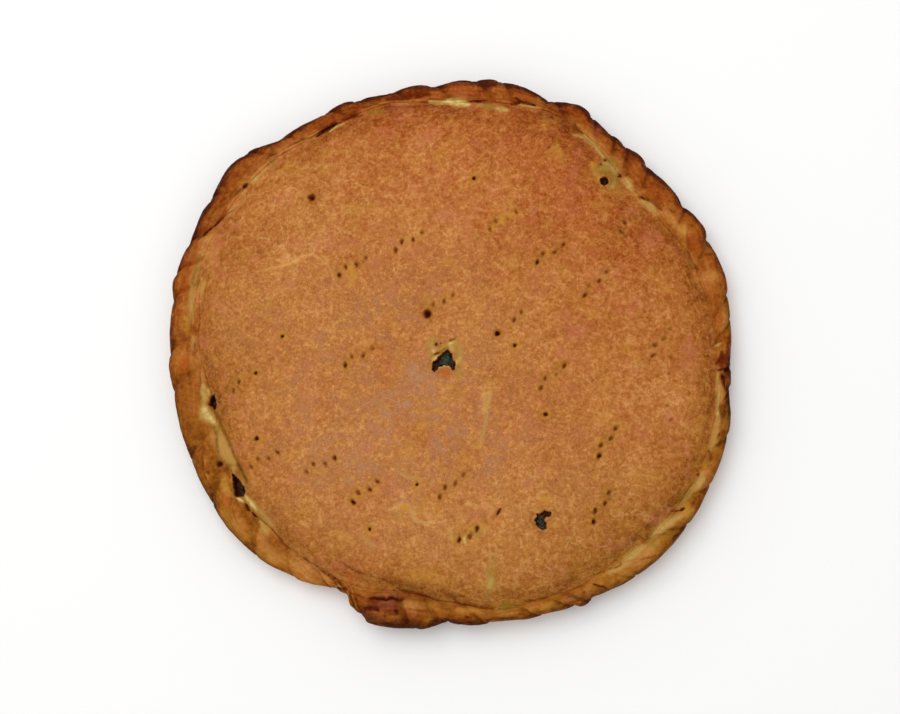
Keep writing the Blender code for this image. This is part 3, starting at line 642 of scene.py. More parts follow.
    ("burn", 0.6, 0.2, (359, 269), (359.2, 276)),
    ("burn", 0.8, 1, (358.1, 266.5), (359.4, 271)),
    ("burn", 1.5, 1, (355.2, 281), (357.6, 280)),
    ("crease", 0.7, 0.55, (346.5, 270), (349.5, 268.4), (353, 266), (356, 263)),
    ("olive", 0.9, 0.5, (353.2, 256.7), (355, 256.2)),
)

# Cracks, specks and rings on the lid, in the same form but with pixels across and down
LID_MARKS = (
    ("olive", 1.6, 0.9, (433.5, 353.8), (440.4, 351), (446.2, 346.9), (455.4, 339.4)),
    ("pale", 1, 0.3, (434, 352), (440.4, 349.5), (446.2, 345.2), (452, 341)),
    ("moss", 1.1, 1, (434.5, 354), (441, 352), (446, 348)),
    ("burn", 0.6, 0.6, (434.5, 354), (438.5, 352.8)),
    ("burn", 0.8, 0.85, (449.8, 341.4), (455, 338.6)),
    ("ochre", 1.5, 0.5, (457, 340), (462, 339)),
    ("gash", 0.8, 0.9, (436.2, 343.2), (436.2, 345.2)),
    ("burn", 0.7, 0.9, (440.3, 343.8), (440.9, 343.4)),
    ("cream", 0.9, 0.5, (432.8, 361.4), (434.3, 358.8), (436.6, 356.4)),
    ("cream", 1.0, 0.32, (432.2, 350.2), (433.6, 350.6)),
    ("cream", 0.9, 0.34, (449.6, 344), (454.6, 341.8)),
    ("cream", 1.3, 0.26, (450.6, 347.2), (452.6, 350)),
    ("cream", 1.1, 0.3, (456.6, 363.4), (458.6, 361.2), (460.6, 358.4)),
    ("ochre", 1.2, 0.6, (457, 353), (463, 352.8)),
    ("ochre", 1.2, 0.5, (462, 363.6), (462, 366.4)),
    ("green", 1.5, 0.9, (432.3, 336.5), (433.5, 343), (434.6, 350.4)),
    ("pale", 2.6, 0.22, (427, 343), (430, 350), (428, 356)),
    ("olive", 2.2, 0.28, (430, 341), (431, 352), (429, 362)),
    ("green", 2, 0.55, (450, 344.6), (458, 345.8), (460, 353.8), (457.7, 362)),
    ("olive", 1.0, 0.5, (450, 345.6), (456, 346.5)),
    ("olive", 1.4, 0.4, (456, 350), (459, 356), (458, 364)),
    ("green", 2.6, 0.3, (459, 343), (460, 352), (459, 366), (460, 378)),
    ("green", 1.4, 0.3, (456, 363), (457, 372), (460, 384), (461, 393)),
    ("red", 2.6, 0.8, (438.5, 371), (444, 373), (450, 371)),
    ("dim", 2.6, 0.35, (438.5, 372), (450, 372)),
    ("pale", 0.6, 0.7, (438, 367.9), (443.8, 365.6), (450.8, 366.9)),
    ("ochre", 1.6, 0.9, (451, 387.3), (451.8, 387.3)),
    ("burn", 0.9, 0.35, (447.3, 333.7), (448, 333)),
    ("ochre", 1.8, 0.6, (555, 525.6), (556, 525.6)),
    ("ochre", 2.6, 0.5, (543, 500), (549, 499)),
    ("dim", 0.9, 0.6, (531.8, 512), (531.6, 519), (533.5, 524)),
    ("dim", 0.9, 0.5, (538, 530.5), (545, 532.5)),
    ("red", 1.2, 0.5, (540, 534), (544, 535)),
    ("pale", 1.4, 0.35, (489, 379), (491, 388), (489, 400)),
    ("golden", 1.8, 0.6, (484, 388), (485, 400), (484, 412)),
    ("pale", 1.2, 0.4, (485, 396), (485, 410)),
    ("pale", 1.0, 0.32, (489, 400), (486, 420), (483, 434), (479, 447)),
    ("crack", 1.0, 1, (392, 509), (400, 506), (408, 505), (413, 514), (417, 521), (425, 523.5), (434, 522)),
    ("pale", 0.9, 0.4, (412, 514), (416, 521), (425, 523.5), (431, 523.5), (434, 521.5)),
    ("pale", 0.9, 0.35, (399, 473.5), (408, 477), (415, 478.5)),
    ("ochre", 2.0, 0.75, (401.5, 508.5), (407, 508.8)),
    ("crack", 0.9, 0.7, (401, 505), (404, 498), (400, 490)),
    ("crack", 0.6, 0.5, (256, 272), (272, 268), (290, 264), (301, 257), (312, 253), (321, 260), (330, 268)),
    ("crack", 0.6, 0.4, (290, 264), (286, 252), (276, 244)),
    ("crack", 0.6, 0.4, (312, 253), (318, 243), (330, 238)),
    ("crack", 0.6, 0.4, (330, 268), (334, 282), (346, 292)),
    ("gash", 0.75, 0.95, (500.2, 509), (497, 514)),
    ("shade", 1.1, 0.9, (497, 514), (493.6, 519.5)),
    ("moss", 1.0, 0.5, (484.5, 513), (484, 519)),
    ("green", 2.2, 0.7, (475.5, 536), (480, 532)),
    ("green", 1.3, 0.6, (465.5, 530.5), (470, 534)),
    ("cream", 0.9, 0.55, (463.6, 537), (465.4, 543)),
    ("pale", 0.9, 0.5, (449.5, 528), (453, 541)),
    ("moss", 1.0, 0.8, (471, 531.5), (471.6, 535)),
    ("olive", 2.4, 0.3, (497, 548), (494, 562), (490, 578)),
    ("green", 2.6, 0.3, (489, 560), (492, 574), (491, 590)),
    ("ochre", 4.5, 0.35, (408, 578), (424, 575), (442, 581)),
    ("pale", 2.8, 0.25, (360, 536), (366, 541), (372, 546)),
    ("ochre", 3, 0.35, (352, 504), (360, 494), (366, 486)),
    ("ochre", 3.2, 0.45, (346, 276), (352, 268), (352, 284)),
    ("tan", 3.2, 0.8, (398, 248), (410, 240), (418, 234)),
    ("ochre", 3, 0.4, (492, 228), (502, 220), (512, 214)),
    ("ochre", 3, 0.45, (466, 534), (476, 528), (486, 530)),
    ("burn", 1.5, 1, (469, 536), (470.2, 538.2)),
    ("burn", 1.1, 0.95, (670.6, 419.6), (671.8, 419.6)),
    ("burn", 1.3, 1, (685.3, 283.1), (686.4, 283.1)),
    ("burn", 1.2, 0.9, (666.6, 405.7), (667.7, 405.7)),
    ("burn", 1.2, 0.95, (668.5, 373.8), (669.6, 373.8)),
)
FAR = 1e9                 # farther than any place on the pie
MARK_WANDER = 0.45        # how far a mark strays from its places, in ripples of this length
MARK_WANDER_LENGTH = 4.5
SIGHT_PASSES = 8          # rounds that find where a line of sight meets the pie

# Rounding of the groove: how far from it the dough is rounded off, then the steps outwards
# over which its height is averaged, each with its weight
GROOVE_REACH = 7.0
GROOVE_ROUNDING = ((-3.2, 0.12), (-1.6, 0.22), (0.0, 0.32), (1.6, 0.22), (3.2, 0.12))

# Soft swells of the dough's surface: strength in millimetres, length, and a drift that keeps
# one ripple apart from the others
ROPE_SWELLS = ((0.28, 7.0, 3.0), (0.10, 2.2, 7.0))
LID_SWELLS = ((0.22, 11.0, 6.0), (0.05, 2.4, 1.0))
UNDERSIDE_SWELLS = ((1.0, 16.0, 4.0),)
UNDERSIDE_HOLLOW = 0.25

# Where the lower sheet's finer work stops, from 0 at its widest edge down to -1 at its foot
MARKS_STOP = -0.25
PRICKS_STOP = -0.2
STAINS_STOP = -0.3
STREAKS_STOP = -0.6
CREASES_STOP = -0.95
UNDERSIDE_STARTS = -0.98

# The hidden end of the lower sheet: how far it reaches in under the lid, and how high it
# starts and climbs
HIDDEN_REACH = 3.0
HIDDEN_HEIGHT = 4.0
HIDDEN_CLIMB = 11.0

# How each mark's line is drawn: its wash and its relief against its width, the narrowest
# relief, and how much it keeps of itself at its two ends
WASH_WIDTH = 1.35
RELIEF_WIDTH = 1.3
LEAST_RELIEF_WIDTH = 0.8
MARK_ENDS = 0.45

# Tone and redness: length and drift of the broad and the patchy ripples on the lid and on the
# rope, and how much they swing
LID_BROAD = (34.0, 11.0)
LID_PATCHY = (13.0, 4.0)
ROPE_BROAD = (24.0, 2.0)
ROPE_PATCHY = (6.0, 9.0)
TONE_SWING = 0.06
REDNESS_SWING = 0.15

# Fine streaks along the rope: their length round it, across it and upwards, then the relief that they make
# and the painted light and shade that follow it, lighter on the raised streaks and darker in the sunk ones
ROPE_STREAKS = ((1.0, 1.0, 5.0), (0.6, 0.45, 2.0))
STREAK_LENGTH = 9.0
STREAK_WIDTH = 1.5
STREAK_RISE = 3.0
STREAK_LEAN = 0.12
STREAK_RELIEF = 0.14
STREAK_TONE = 0.13
STREAK_STAIN = 0.6
DARK_STREAK = 0.62        # how deep a streak has to be before painted shade darkens it

# Creases between the folds: depth and width in millimetres, the width and strength of their line of painted
# shade, and how much painted shade and light follow the swell of the folds, darker in the creases and
# lighter on the crowns
CREASE_DEPTH = 0.55
CREASE_WIDTH = 0.9
CREASE_LINE_WIDTH = 0.7
CREASE_LINE_STAIN = 0.715
PLEAT_TONE = 0.14

# The burnt edge: how dark it gets and how it is broken up, how much lighter its very edge is,
# how far down the wall it runs, and the browning round it
BURN_LEVEL = 0.86
BURN_COVER = 0.80
BURN_PATCHES = ((0.35, 9.0, 12.0), (0.35, 2.6, 4.0))
BURN_STREAKS = 0.30
BURN_LIP = 0.3
BURN_LIP_WIDTH = 0.8
BURN_FALL = 0.14
BROWNED_TONE = 0.46
BROWNED_WIDTH = 4.0

# Fork pricks and holes: how deep the faintest goes, the widths of slope, stain with painted shade, dark core
# of painted shade and browning against the radius, and the dip and the ochre ring round each
FAINT_PRICK = 0.35
SLOPE_WIDTH = 0.85
STAIN_WIDTH = 1.25
CORE_WIDTH = 0.8
BROWN_WIDTH = 2.3
RING_LEVEL = 0.3
PRICK_WANDER_LENGTH = 1.7
PRICK_SQUARE = 9.0        # half the side of the square that one prick is worked in
DIMPLE_DEPTH = 0.25
DIMPLE_WIDTH = 3.0
PRICK_TONE = 0.3
RING_WIDTH = 3.8
HOLE_DARKNESS = 0.95

# Torn lips of the openings, and the relief of the filling in them
OPENING_SQUARE = 18.0     # half the side of the square that one opening is worked in
TORN_EDGE = ((0.7, 1.8, 5.0), (0.4, 0.8, 2.0))
LIP_OUTSIDE = 0.9         # how far outside the torn edge the lip is highest
LIP_HEIGHT = 0.45
LIP_WIDTH = 1.0
DROP_OUTSIDE = 0.2        # how far outside the torn edge the drop to the floor begins
DROP_WIDTH = 0.9
SHADOW_WIDTH = 1.4
LIP_PALENESS = 0.22
LIP_TONE = 0.22
LIP_TONE_WIDTH = 2.0
SHADOW_SCORCH = 0.45
FILLING_LUMPS = ((1.0, 2.6, 3.0), (0.6, 1.2, 8.0))
FILLING_RELIEF = 0.9
FILLING_SINK = 0.6
FILLING_CUTS = 7
BASE_DEPTH = 0.5          # how far the filling reaches below the floor of its opening
MAROON_FADE = 3.0

# Fineness of the two sheets, and how far round each prick and opening the lid is finer
PRICK_REACH = 3.4
HOLE_MARGIN = 2.4
THIN_MARK = 1.0
THIN_MARK_SPACING = 1.5
THIN_MARK_REACH = 1.8
OPENING_REACH = {
    "centre_vent": 13.0, "side_vent": 10.0, "upper_seam": 9.0, "lower_seam": 11.0, "edge_hole": 7.0,
}
LID_STEPS = 272           # squares along one side of the lid's grid
LID_EASE = 0.06           # how much the squares crowd towards the groove
LID_TUCK = 2.5            # how far the lid reaches in under the rope
LID_TUCK_SLOPE = 1.3      # how steeply it runs down where it is tucked under the rope
LID_BASE = 5.0            # height of the lid's flat underside, inside the pie
ROPE_STEPS = 1280         # steps of the lower sheet round the pie
ROPE_ROWS = 44            # rows from the groove over the rope to its widest edge
WALL_ROWS = 15            # rows from there down the wall to the foot
HIDDEN_SHARES = (0.0, 0.75)        # rows of the hidden end, from its cut to the groove
UNDERSIDE_SHARES = (0.98, 0.95)    # rows inside the foot, as shares of its radius
CORE_STEPS = 84           # squares along one side of the underside's grid
CORE_SHARE = 0.9          # how much of the underside's radius that grid covers


def smooth(u):
    return u * u * (3.0 - 2.0 * u)


def bell(distance, width):
    return np.exp(-(distance / width) ** 2)


def ripple(places, length, drift=0.0):
    """Soft noise between about -1 and 1 at each place, with lumps of a given length."""
    offset = Vector((drift, 1.7 * drift, -0.6 * drift))
    return np.array([noise.noise(Vector(place) / length + offset) for place in places.tolist()])


def swells(places, layers):
    """Several ripples added up."""
    return sum(strength * ripple(places, length, drift) for strength, length, drift in layers)


def blend(table, column, angle):
    """A column of a table that goes once round the pie, eased between its rows."""
    starts = np.array([row[0] for row in table])
    values = np.array([row[column] for row in table])
    index = np.searchsorted(starts, angle % 360.0, side="right") - 1
    following = (index + 1) % len(table)
    span = (starts[following] - starts[index]) % 360.0
    share = ((angle - starts[index]) % 360.0) / span
    return values[index] + (values[following] - values[index]) * smooth(share)


def pleat_share(angle):
    """Row of the pleat at an angle, the share of the way to the next crease, and the pleat's span."""
    starts = np.array([row[0] for row in PLEATS])
    index = np.searchsorted(starts, angle % 360.0, side="right") - 1
    span = (starts[(index + 1) % len(starts)] - starts[index]) % 360.0
    return index, ((angle - starts[index]) % 360.0) / span, span


def pleat_swell(angle):
    share = pleat_share(angle)[1]
    return np.abs(np.sin(math.pi * share ** PLEAT_SKEW)) ** PLEAT_FULLNESS


def edge_radius(angle):
    bulge = np.array([row[2] for row in PLEATS])[pleat_share(angle)[0]]
    return blend(PLEATS, 1, angle) + bulge * pleat_swell(angle)


def groove_radius(angle):
    return blend(GROOVE, 1, angle)


def lid_rise(share):
    return (1.0 - (1.0 - share) ** LID_ROUNDNESS) ** 0.5


def rope_height(angle, share):
    """The rope's round back: share 0 is the widest edge and 1 the groove."""
    turned = angle + PLEAT_LEAN * share
    arch = np.abs(np.sin(math.pi * share)) ** ROPE_FULLNESS
    start = np.where(share < 0.5, WALL_HEIGHT, GROOVE_HEIGHT)
    crown = blend(PLEATS, 3, turned) + PLEAT_DEPTH * (pleat_swell(turned) - PLEAT_LEVEL)
    return start + (crown - start) * arch


def section_height(angle, reach):
    """Height of the lid or of the rope at a distance from the middle."""
    groove = groove_radius(angle)
    edge = edge_radius(angle)
    lid = GROOVE_HEIGHT + (LID_HEIGHT - GROOVE_HEIGHT) * lid_rise(np.clip(1.0 - reach / groove, 0.0, 1.0))
    across = np.clip((edge - reach) / (edge - groove), 0.0, 1.0)
    rope = rope_height(angle, np.arccos(1.0 - 2.0 * across) / math.pi)
    return np.where(reach < groove, lid, rope)


def groove_filling(angle, reach):
    """How far the soft dough rounds off the groove: what it adds to the section's height."""
    away = reach - groove_radius(angle)
    room = 0.5 * (edge_radius(angle) - groove_radius(angle))
    near = smooth(np.clip((GROOVE_REACH - np.abs(away)) / 5.0, 0.0, 1.0))
    near = near * smooth(np.clip(2.0 - 1.6 * away / room, 0.0, 1.0))
    height = section_height(angle, reach)
    rounded = sum(weight * section_height(angle, reach + step) for step, weight in GROOVE_ROUNDING)
    return near * (rounded - height)


def hidden_place(angle, share):
    """The part of the lower sheet that the lid covers, from its cut end to the groove."""
    return groove_radius(angle) - HIDDEN_REACH * (1.0 - share), HIDDEN_HEIGHT + HIDDEN_CLIMB * share


def rope_place(angle, share):
    across = 0.5 * (1.0 - math.cos(math.pi * share))
    edge = edge_radius(angle)
    reach = edge - (edge - groove_radius(angle)) * across
    return reach, rope_height(angle, np.full_like(angle, share)) + groove_filling(angle, reach)


def wall_place(angle, share):
    tuck = FOOT_INSET * (1.0 - math.sin(0.5 * math.pi * share) ** WALL_FULLNESS)
    return edge_radius(angle) - tuck, np.full_like(angle, WALL_HEIGHT * share)


def underside_place(angle, share):
    return (edge_radius(angle) - FOOT_INSET) * share, np.zeros_like(angle)


def lower_sheet_rows():
    """Rows of the lower sheet's section, from its hidden end over the rope to the underside."""
    rows = [(hidden_place, share) for share in HIDDEN_SHARES]
    rows += [(rope_place, 1.0 - k / ROPE_ROWS) for k in range(ROPE_ROWS + 1)]
    rows += [(wall_place, (1.0 - k / WALL_ROWS) ** 2) for k in range(1, WALL_ROWS + 1)]
    rows += [(underside_place, share) for share in UNDERSIDE_SHARES]
    return rows


def on_plan(x, y):
    """Places on the plan, at height 0."""
    return np.column_stack((x, y, np.zeros_like(x)))


def in_square(x, y, middle, half):
    """Numbers of the places in a square round a middle."""
    return np.nonzero((np.abs(x - middle[0]) < half) & (np.abs(y - middle[1]) < half))[0]


def lay_on(tints, name, level, here=slice(None)):
    """Raises a tint to a level where it is lower."""
    tints[name][here] = np.maximum(tints[name][here], level)


def read_places(sheet):
    return np.array([vert.co for vert in sheet.verts])


def write_places(sheet, places):
    for vert, place in zip(sheet.verts, places.tolist()):
        vert.co = place


def polar(x, y):
    return np.degrees(np.arctan2(y, x)), np.hypot(x, y)


def fork_pricks():
    """Where each tine went in, how dark its hole is and how its slit leans."""
    for x, y, turn, lean, darkness in FORK_MARKS:
        for (across, along), dark in zip(FORK_TINES, darkness):
            angle = math.radians(turn)
            px = x + across * math.cos(angle) - along * math.sin(angle)
            py = y + across * math.sin(angle) + along * math.cos(angle)
            if all(math.hypot(px - hole[0], py - hole[1]) > HOLE_REACH for hole in HOLES):
                yield px, py, dark, lean


def distance_to_run(x, y, start, end):
    """Distance of each place from a straight run, and the share of the run passed there."""
    (ax, ay), (bx, by) = start, end
    along = ((x - ax) * (bx - ax) + (y - ay) * (by - ay)) / ((bx - ax) ** 2 + (by - ay) ** 2)
    along = np.clip(along, 0.0, 1.0)
    return np.hypot(x - ax - along * (bx - ax), y - ay - along * (by - ay)), along


def distance_inside(x, y, outline):
    """Distance of each place from an outline's edge, above 0 inside it."""
    corners = np.array(outline)
    nearest = np.full_like(x, FAR)
    inside = np.zeros_like(x, dtype=bool)
    for (ax, ay), (bx, by) in zip(corners, np.roll(corners, -1, axis=0)):
        nearest = np.minimum(nearest, distance_to_run(x, y, (ax, ay), (bx, by))[0])
        crosses = (ay > y) != (by > y)
        inside ^= crosses & (x < (bx - ax) * (y - ay) / (by - ay + 1e-12) + ax)
    return np.where(inside, nearest, -nearest)


def distance_to_mark(x, y, points):
    """Distance of each place from a mark's line, and how far along the mark it is."""
    nearest = np.full_like(x, FAR)
    travelled = np.zeros_like(x)
    passed = 0.0
    for start, end in zip(points, points[1:]):
        length = math.dist(start, end)
        away, along = distance_to_run(x, y, start, end)
        travelled = np.where(away < nearest, passed + along * length, travelled)
        nearest = np.minimum(nearest, away)
        passed += length
    return nearest, travelled / passed


# The stain and scorch tints carry real stains and burns, and also painted shade in creases, gashes, pricks,
# streaks and openings
TINTS = ("toast", "redness", "scorch", "stain", "blush", "pale", "olive", "flour", "crumb", "honey",
         "crackle")


def view_axes():
    """Right, up and back of the photograph's view, and the place it is seen from."""
    turn = math.radians(VIEW_TURN)
    lift = math.radians(VIEW_HEIGHT)
    back = Vector((math.sin(turn) * math.cos(lift), -math.cos(turn) * math.cos(lift), math.sin(lift)))
    up = (Vector((0.0, 1.0, 0.0)) - back.y * back).normalized()
    right = up.cross(back)
    eye = Vector(VIEW_MIDDLE) - VIEW_LEFT * right - VIEW_DOWN * up + VIEW_DISTANCE * back
    return right, up, back, eye


def rim_pixels(points):
    """Pixels of the photograph at given angles and distances from the pie's middle."""
    return [(PIE_MIDDLE[0] + reach * math.cos(math.radians(angle)),
             PIE_MIDDLE[1] - reach * math.sin(math.radians(angle))) for angle, reach in points]


def seen_places(pixels):
    """Places on the pie, in plan, that the photograph shows at some pixels."""
    right, up, back, eye = (np.array(axis) for axis in view_axes())
    pixels = np.array(pixels)
    reach = PHOTO_SIZE[0] * LENS / SENSOR
    across = (pixels[:, 0:1] - PHOTO_SIZE[0] / 2) / reach
    down = (pixels[:, 1:2] - PHOTO_SIZE[1] / 2) / reach
    ray = across * right - down * up - back
    height = np.full(len(pixels), LID_HEIGHT)
    for _ in range(SIGHT_PASSES):
        places = eye + ray * ((height - eye[2]) / ray[:, 2])[:, None]
        height = section_height(*polar(places[:, 0], places[:, 1]))
    return places[:, :2].tolist()


def placed_marks(marks, to_pixels=list):
    return [(*mark[:3], *seen_places(to_pixels(mark[3:]))) for mark in marks]


def no_tints(x):
    return {tint: np.zeros_like(x) for tint in TINTS}


def add_marks(marks, x, y, tints):
    """Works the marks into the tints, and gives the relief that they make."""
    flat = on_plan(x, y)
    wx = x + MARK_WANDER * ripple(flat, MARK_WANDER_LENGTH, 3.0)
    wy = y + MARK_WANDER * ripple(flat, MARK_WANDER_LENGTH, 8.0)
    relief = np.zeros_like(x)
    for kind, width, strength, *points in marks:
        depth, adds = MARK_KINDS[kind]
        xs = [place[0] for place in points]
        ys = [place[1] for place in points]
        reach = 4.0 * width + 1.0
        near = ((wx > min(xs) - reach) & (wx < max(xs) + reach)
                & (wy > min(ys) - reach) & (wy < max(ys) + reach))
        here = np.nonzero(near)[0]
        if not len(here):
            continue
        away, along = distance_to_mark(wx[here], wy[here], points)
        taper = MARK_ENDS + (1.0 - MARK_ENDS) * np.sin(math.pi * np.clip(along, 0.04, 0.96)) ** 0.5
        cover = strength ** 0.7 * bell(away, WASH_WIDTH * width * taper)
        relief_width = max(RELIEF_WIDTH * width, LEAST_RELIEF_WIDTH)
        relief[here] += depth * strength * taper * bell(away, relief_width)
        for tint, amount in adds.items():
            room = 1.0 if tint in ("toast", "redness") else 1.0 - tints[tint][here]
            tints[tint][here] += amount * cover * room
    return relief


def add_pricks(x, y, height, tints):
    """Sinks the tine slits and the round holes, browned and darkened with painted shade inside, and with an
    ochre ring round them.
    """
    pricks = [(px, py, PRICK_RADIUS, PRICK_DEPTH * (FAINT_PRICK + (1.0 - FAINT_PRICK) * dark), dark, lean,
               SLIT_STRETCH) for px, py, dark, lean in fork_pricks()]
    pricks += [(px, py, radius, depth, HOLE_DARKNESS, 0, 1.0) for px, py, radius, depth in HOLES]
    for px, py, radius, depth, dark, lean, stretch in pricks:
        here = in_square(x, y, (px, py), PRICK_SQUARE)
        flat = on_plan(x[here], y[here])
        dx = x[here] - px + PRICK_WANDER * ripple(flat, PRICK_WANDER_LENGTH, 4.0)
        dy = y[here] - py + PRICK_WANDER * ripple(flat, PRICK_WANDER_LENGTH, 9.0)
        turn = math.radians(lean)
        along = (dx * math.cos(turn) + dy * math.sin(turn)) / stretch
        across = (dy * math.cos(turn) - dx * math.sin(turn)) * stretch
        away = np.hypot(along, across)
        round_it = np.hypot(dx, dy)
        dimple = DIMPLE_DEPTH * bell(round_it, DIMPLE_WIDTH)
        height[here] -= depth * bell(away, SLOPE_WIDTH * radius) + dimple
        # Dark stain in each hole, partly browning and partly painted shade, with a core of painted shade at
        # its bottom
        stain = dark ** 0.5 * bell(away, STAIN_WIDTH * radius)
        lay_on(tints, "stain", stain, here)
        core = np.clip(2.6 * dark - 1.6, 0.0, 1.0) * bell(away, CORE_WIDTH * radius)
        lay_on(tints, "scorch", core, here)
        tints["toast"][here] += PRICK_TONE * dark * bell(away, BROWN_WIDTH * radius)
        ring = (RING_LEVEL + RING_LEVEL * dark) * bell(round_it, RING_WIDTH)
        lay_on(tints, "honey", ring, here)


def add_openings(x, y, height, tints):
    """Sinks each vent or torn seam to its floor, with a torn pale lip round it."""
    flat = on_plan(x, y)
    for name, (outline, floor, top) in OPENINGS.items():
        middle = np.mean(outline, axis=0)
        here = in_square(x, y, middle, OPENING_SQUARE)
        if not len(here):
            continue
        torn = swells(flat[here], TORN_EDGE) - CLOSED_IN[name]
        inside = distance_inside(x[here], y[here], outline) + torn
        lip = bell(inside + LIP_OUTSIDE, LIP_WIDTH) * (inside < 0.3)
        open_share = smooth(np.clip((inside + DROP_OUTSIDE) / DROP_WIDTH, 0.0, 1.0))
        height[here] += LIP_HEIGHT * lip * (1.0 - open_share)
        height[here] += (floor - height[here]) * open_share
        shadow = smooth(np.clip((inside + LIP_OUTSIDE) / SHADOW_WIDTH, 0.0, 1.0))
        lay_on(tints, "stain", shadow, here)
        lay_on(tints, "scorch", SHADOW_SCORCH * shadow, here)
        tints["toast"][here] += LIP_TONE * bell(np.clip(-inside, 0.0, None), LIP_TONE_WIDTH)
        lay_on(tints, "pale", LIP_PALENESS * lip * (1.0 - open_share), here)


def lid_surface(x, y):
    """Height of the plain dome, which runs on down where it is tucked under the rope."""
    angle, reach = polar(x, y)
    groove = groove_radius(angle)
    flat = on_plan(x, y)
    wave = ripple(flat, LID_WAVE_LENGTH) * LID_WAVE * lid_rise(np.clip(1.0 - reach / groove, 0.0, 1.0))
    height = section_height(angle, reach) + groove_filling(angle, reach)
    return height + wave - LID_TUCK_SLOPE * np.clip(reach - groove, 0.0, None)


def square_to_round(u, v):
    """Carries a square grid onto a disc: share of the radius, and the angle in radians."""
    wide = np.abs(u) >= np.abs(v)
    share = np.maximum(np.abs(u), np.abs(v))
    safe_u = np.where(u == 0.0, 1.0, u)
    safe_v = np.where(v == 0.0, 1.0, v)
    angle = np.where(wide, 0.25 * math.pi * v / safe_u + math.pi * (u < 0.0),
                     0.5 * math.pi - 0.25 * math.pi * u / safe_v + math.pi * (v < 0.0))
    return share, angle


def refine(sheet, centres, cuts):
    """Splits the squares near each centre, given as x, y and reach."""
    places = read_places(sheet)
    sheet.verts.ensure_lookup_table()
    near = np.zeros(len(places), dtype=bool)
    for cx, cy, reach in centres:
        near |= np.hypot(places[:, 0] - cx, places[:, 1] - cy) < reach
    sheet.verts.index_update()
    edges = [edge for edge in sheet.edges if near[edge.verts[0].index] and near[edge.verts[1].index]]
    bmesh.ops.subdivide_edges(sheet, edges=edges, cuts=cuts, use_grid_fill=True)
    odd = [face for face in sheet.faces if len(face.verts) > 4]
    bmesh.ops.triangulate(sheet, faces=odd)


def along_thin_marks(marks):
    """Places along the thin marks, for splitting the squares there."""
    for kind, width, strength, *points in marks:
        if width > THIN_MARK:
            continue
        for (ax, ay), (bx, by) in zip(points, points[1:]):
            steps = max(1, round(math.hypot(bx - ax, by - ay) / THIN_MARK_SPACING))
            for k in range(steps + 1):
                share = k / steps
                yield ax + (bx - ax) * share, ay + (by - ay) * share, THIN_MARK_REACH


def link(thing):
    bpy.context.scene.collection.objects.link(thing)


def finish_piece(name, sheet, tints, material, nodes):
    """Turns a sheet in millimetres into a finished piece that stands for CAD nodes."""
    bmesh.ops.scale(sheet, verts=sheet.verts, vec=(MM, MM, MM))
    bmesh.ops.recalc_face_normals(sheet, faces=sheet.faces)
    mesh = bpy.data.meshes.new(name)
    sheet.to_mesh(mesh)
    sheet.free()
    for tint, values in tints.items():
        layer = mesh.attributes.new(tint, "FLOAT", "POINT")
        layer.data.foreach_set("value", np.clip(values, 0.0, 1.0).astype(np.float32))
    mesh.shade_smooth()
    mesh.materials.append(material)
    piece = bpy.data.objects.new(name, mesh)
    link(piece)
    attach(piece, "root")
    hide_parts(*nodes)


def lid_tints(x, y):
    """Browning of the lid: even on top, darker down its flank, floury and with a painted sheen in the
    middle.
    """
    tints = no_tints(x)
    flat = on_plan(x, y)
    angle, reach = polar(x, y)
    inward = np.clip(groove_radius(angle) - reach, 0.0, None)
    broad = ripple(flat, *LID_BROAD)
    patchy = ripple(flat, *LID_PATCHY)
    tone = LID_TONE + FLANK_TONE * bell(inward, FLANK_WIDTH) + TONE_SWING * broad + TONE_SWING * patchy
    redness = LID_REDNESS + REDNESS_SWING * broad
    flour = np.zeros_like(x)
    for px, py, size, adds_tone, adds_redness, adds_flour in LID_PATCHES:
        cover = bell(np.hypot(x - px, y - py), size)
        tone += adds_tone * cover
        redness += adds_redness * cover
        flour += adds_flour * cover * np.clip(0.75 + patchy, 0.0, 1.5)
    round_it = np.column_stack((reach * np.radians(angle) / FLANK_STREAK_LENGTH,
                                inward / FLANK_STREAK_WIDTH, np.zeros_like(x)))
    tone -= FLANK_STREAKS * ripple(round_it, 1.0, 7.0) * bell(inward, FLANK_STREAK_REACH)
    seam = np.exp(-inward / SEAM_FADE)
    tints["toast"] = tone + (blend(ROPE_TONE, 2, angle) - tone) * seam
    tints["redness"] = redness + (blend(ROPE_TONE, 3, angle) - redness) * seam
    tints["flour"] = flour
    tints["crumb"] = CRUMB_LEVEL + flour
    tints["crackle"] = CRACKLE_LEVEL + sum(
        share * bell(np.hypot(x - px, y - py), size) for px, py, size, share in CRACKLE_PATCHES)
    return tints


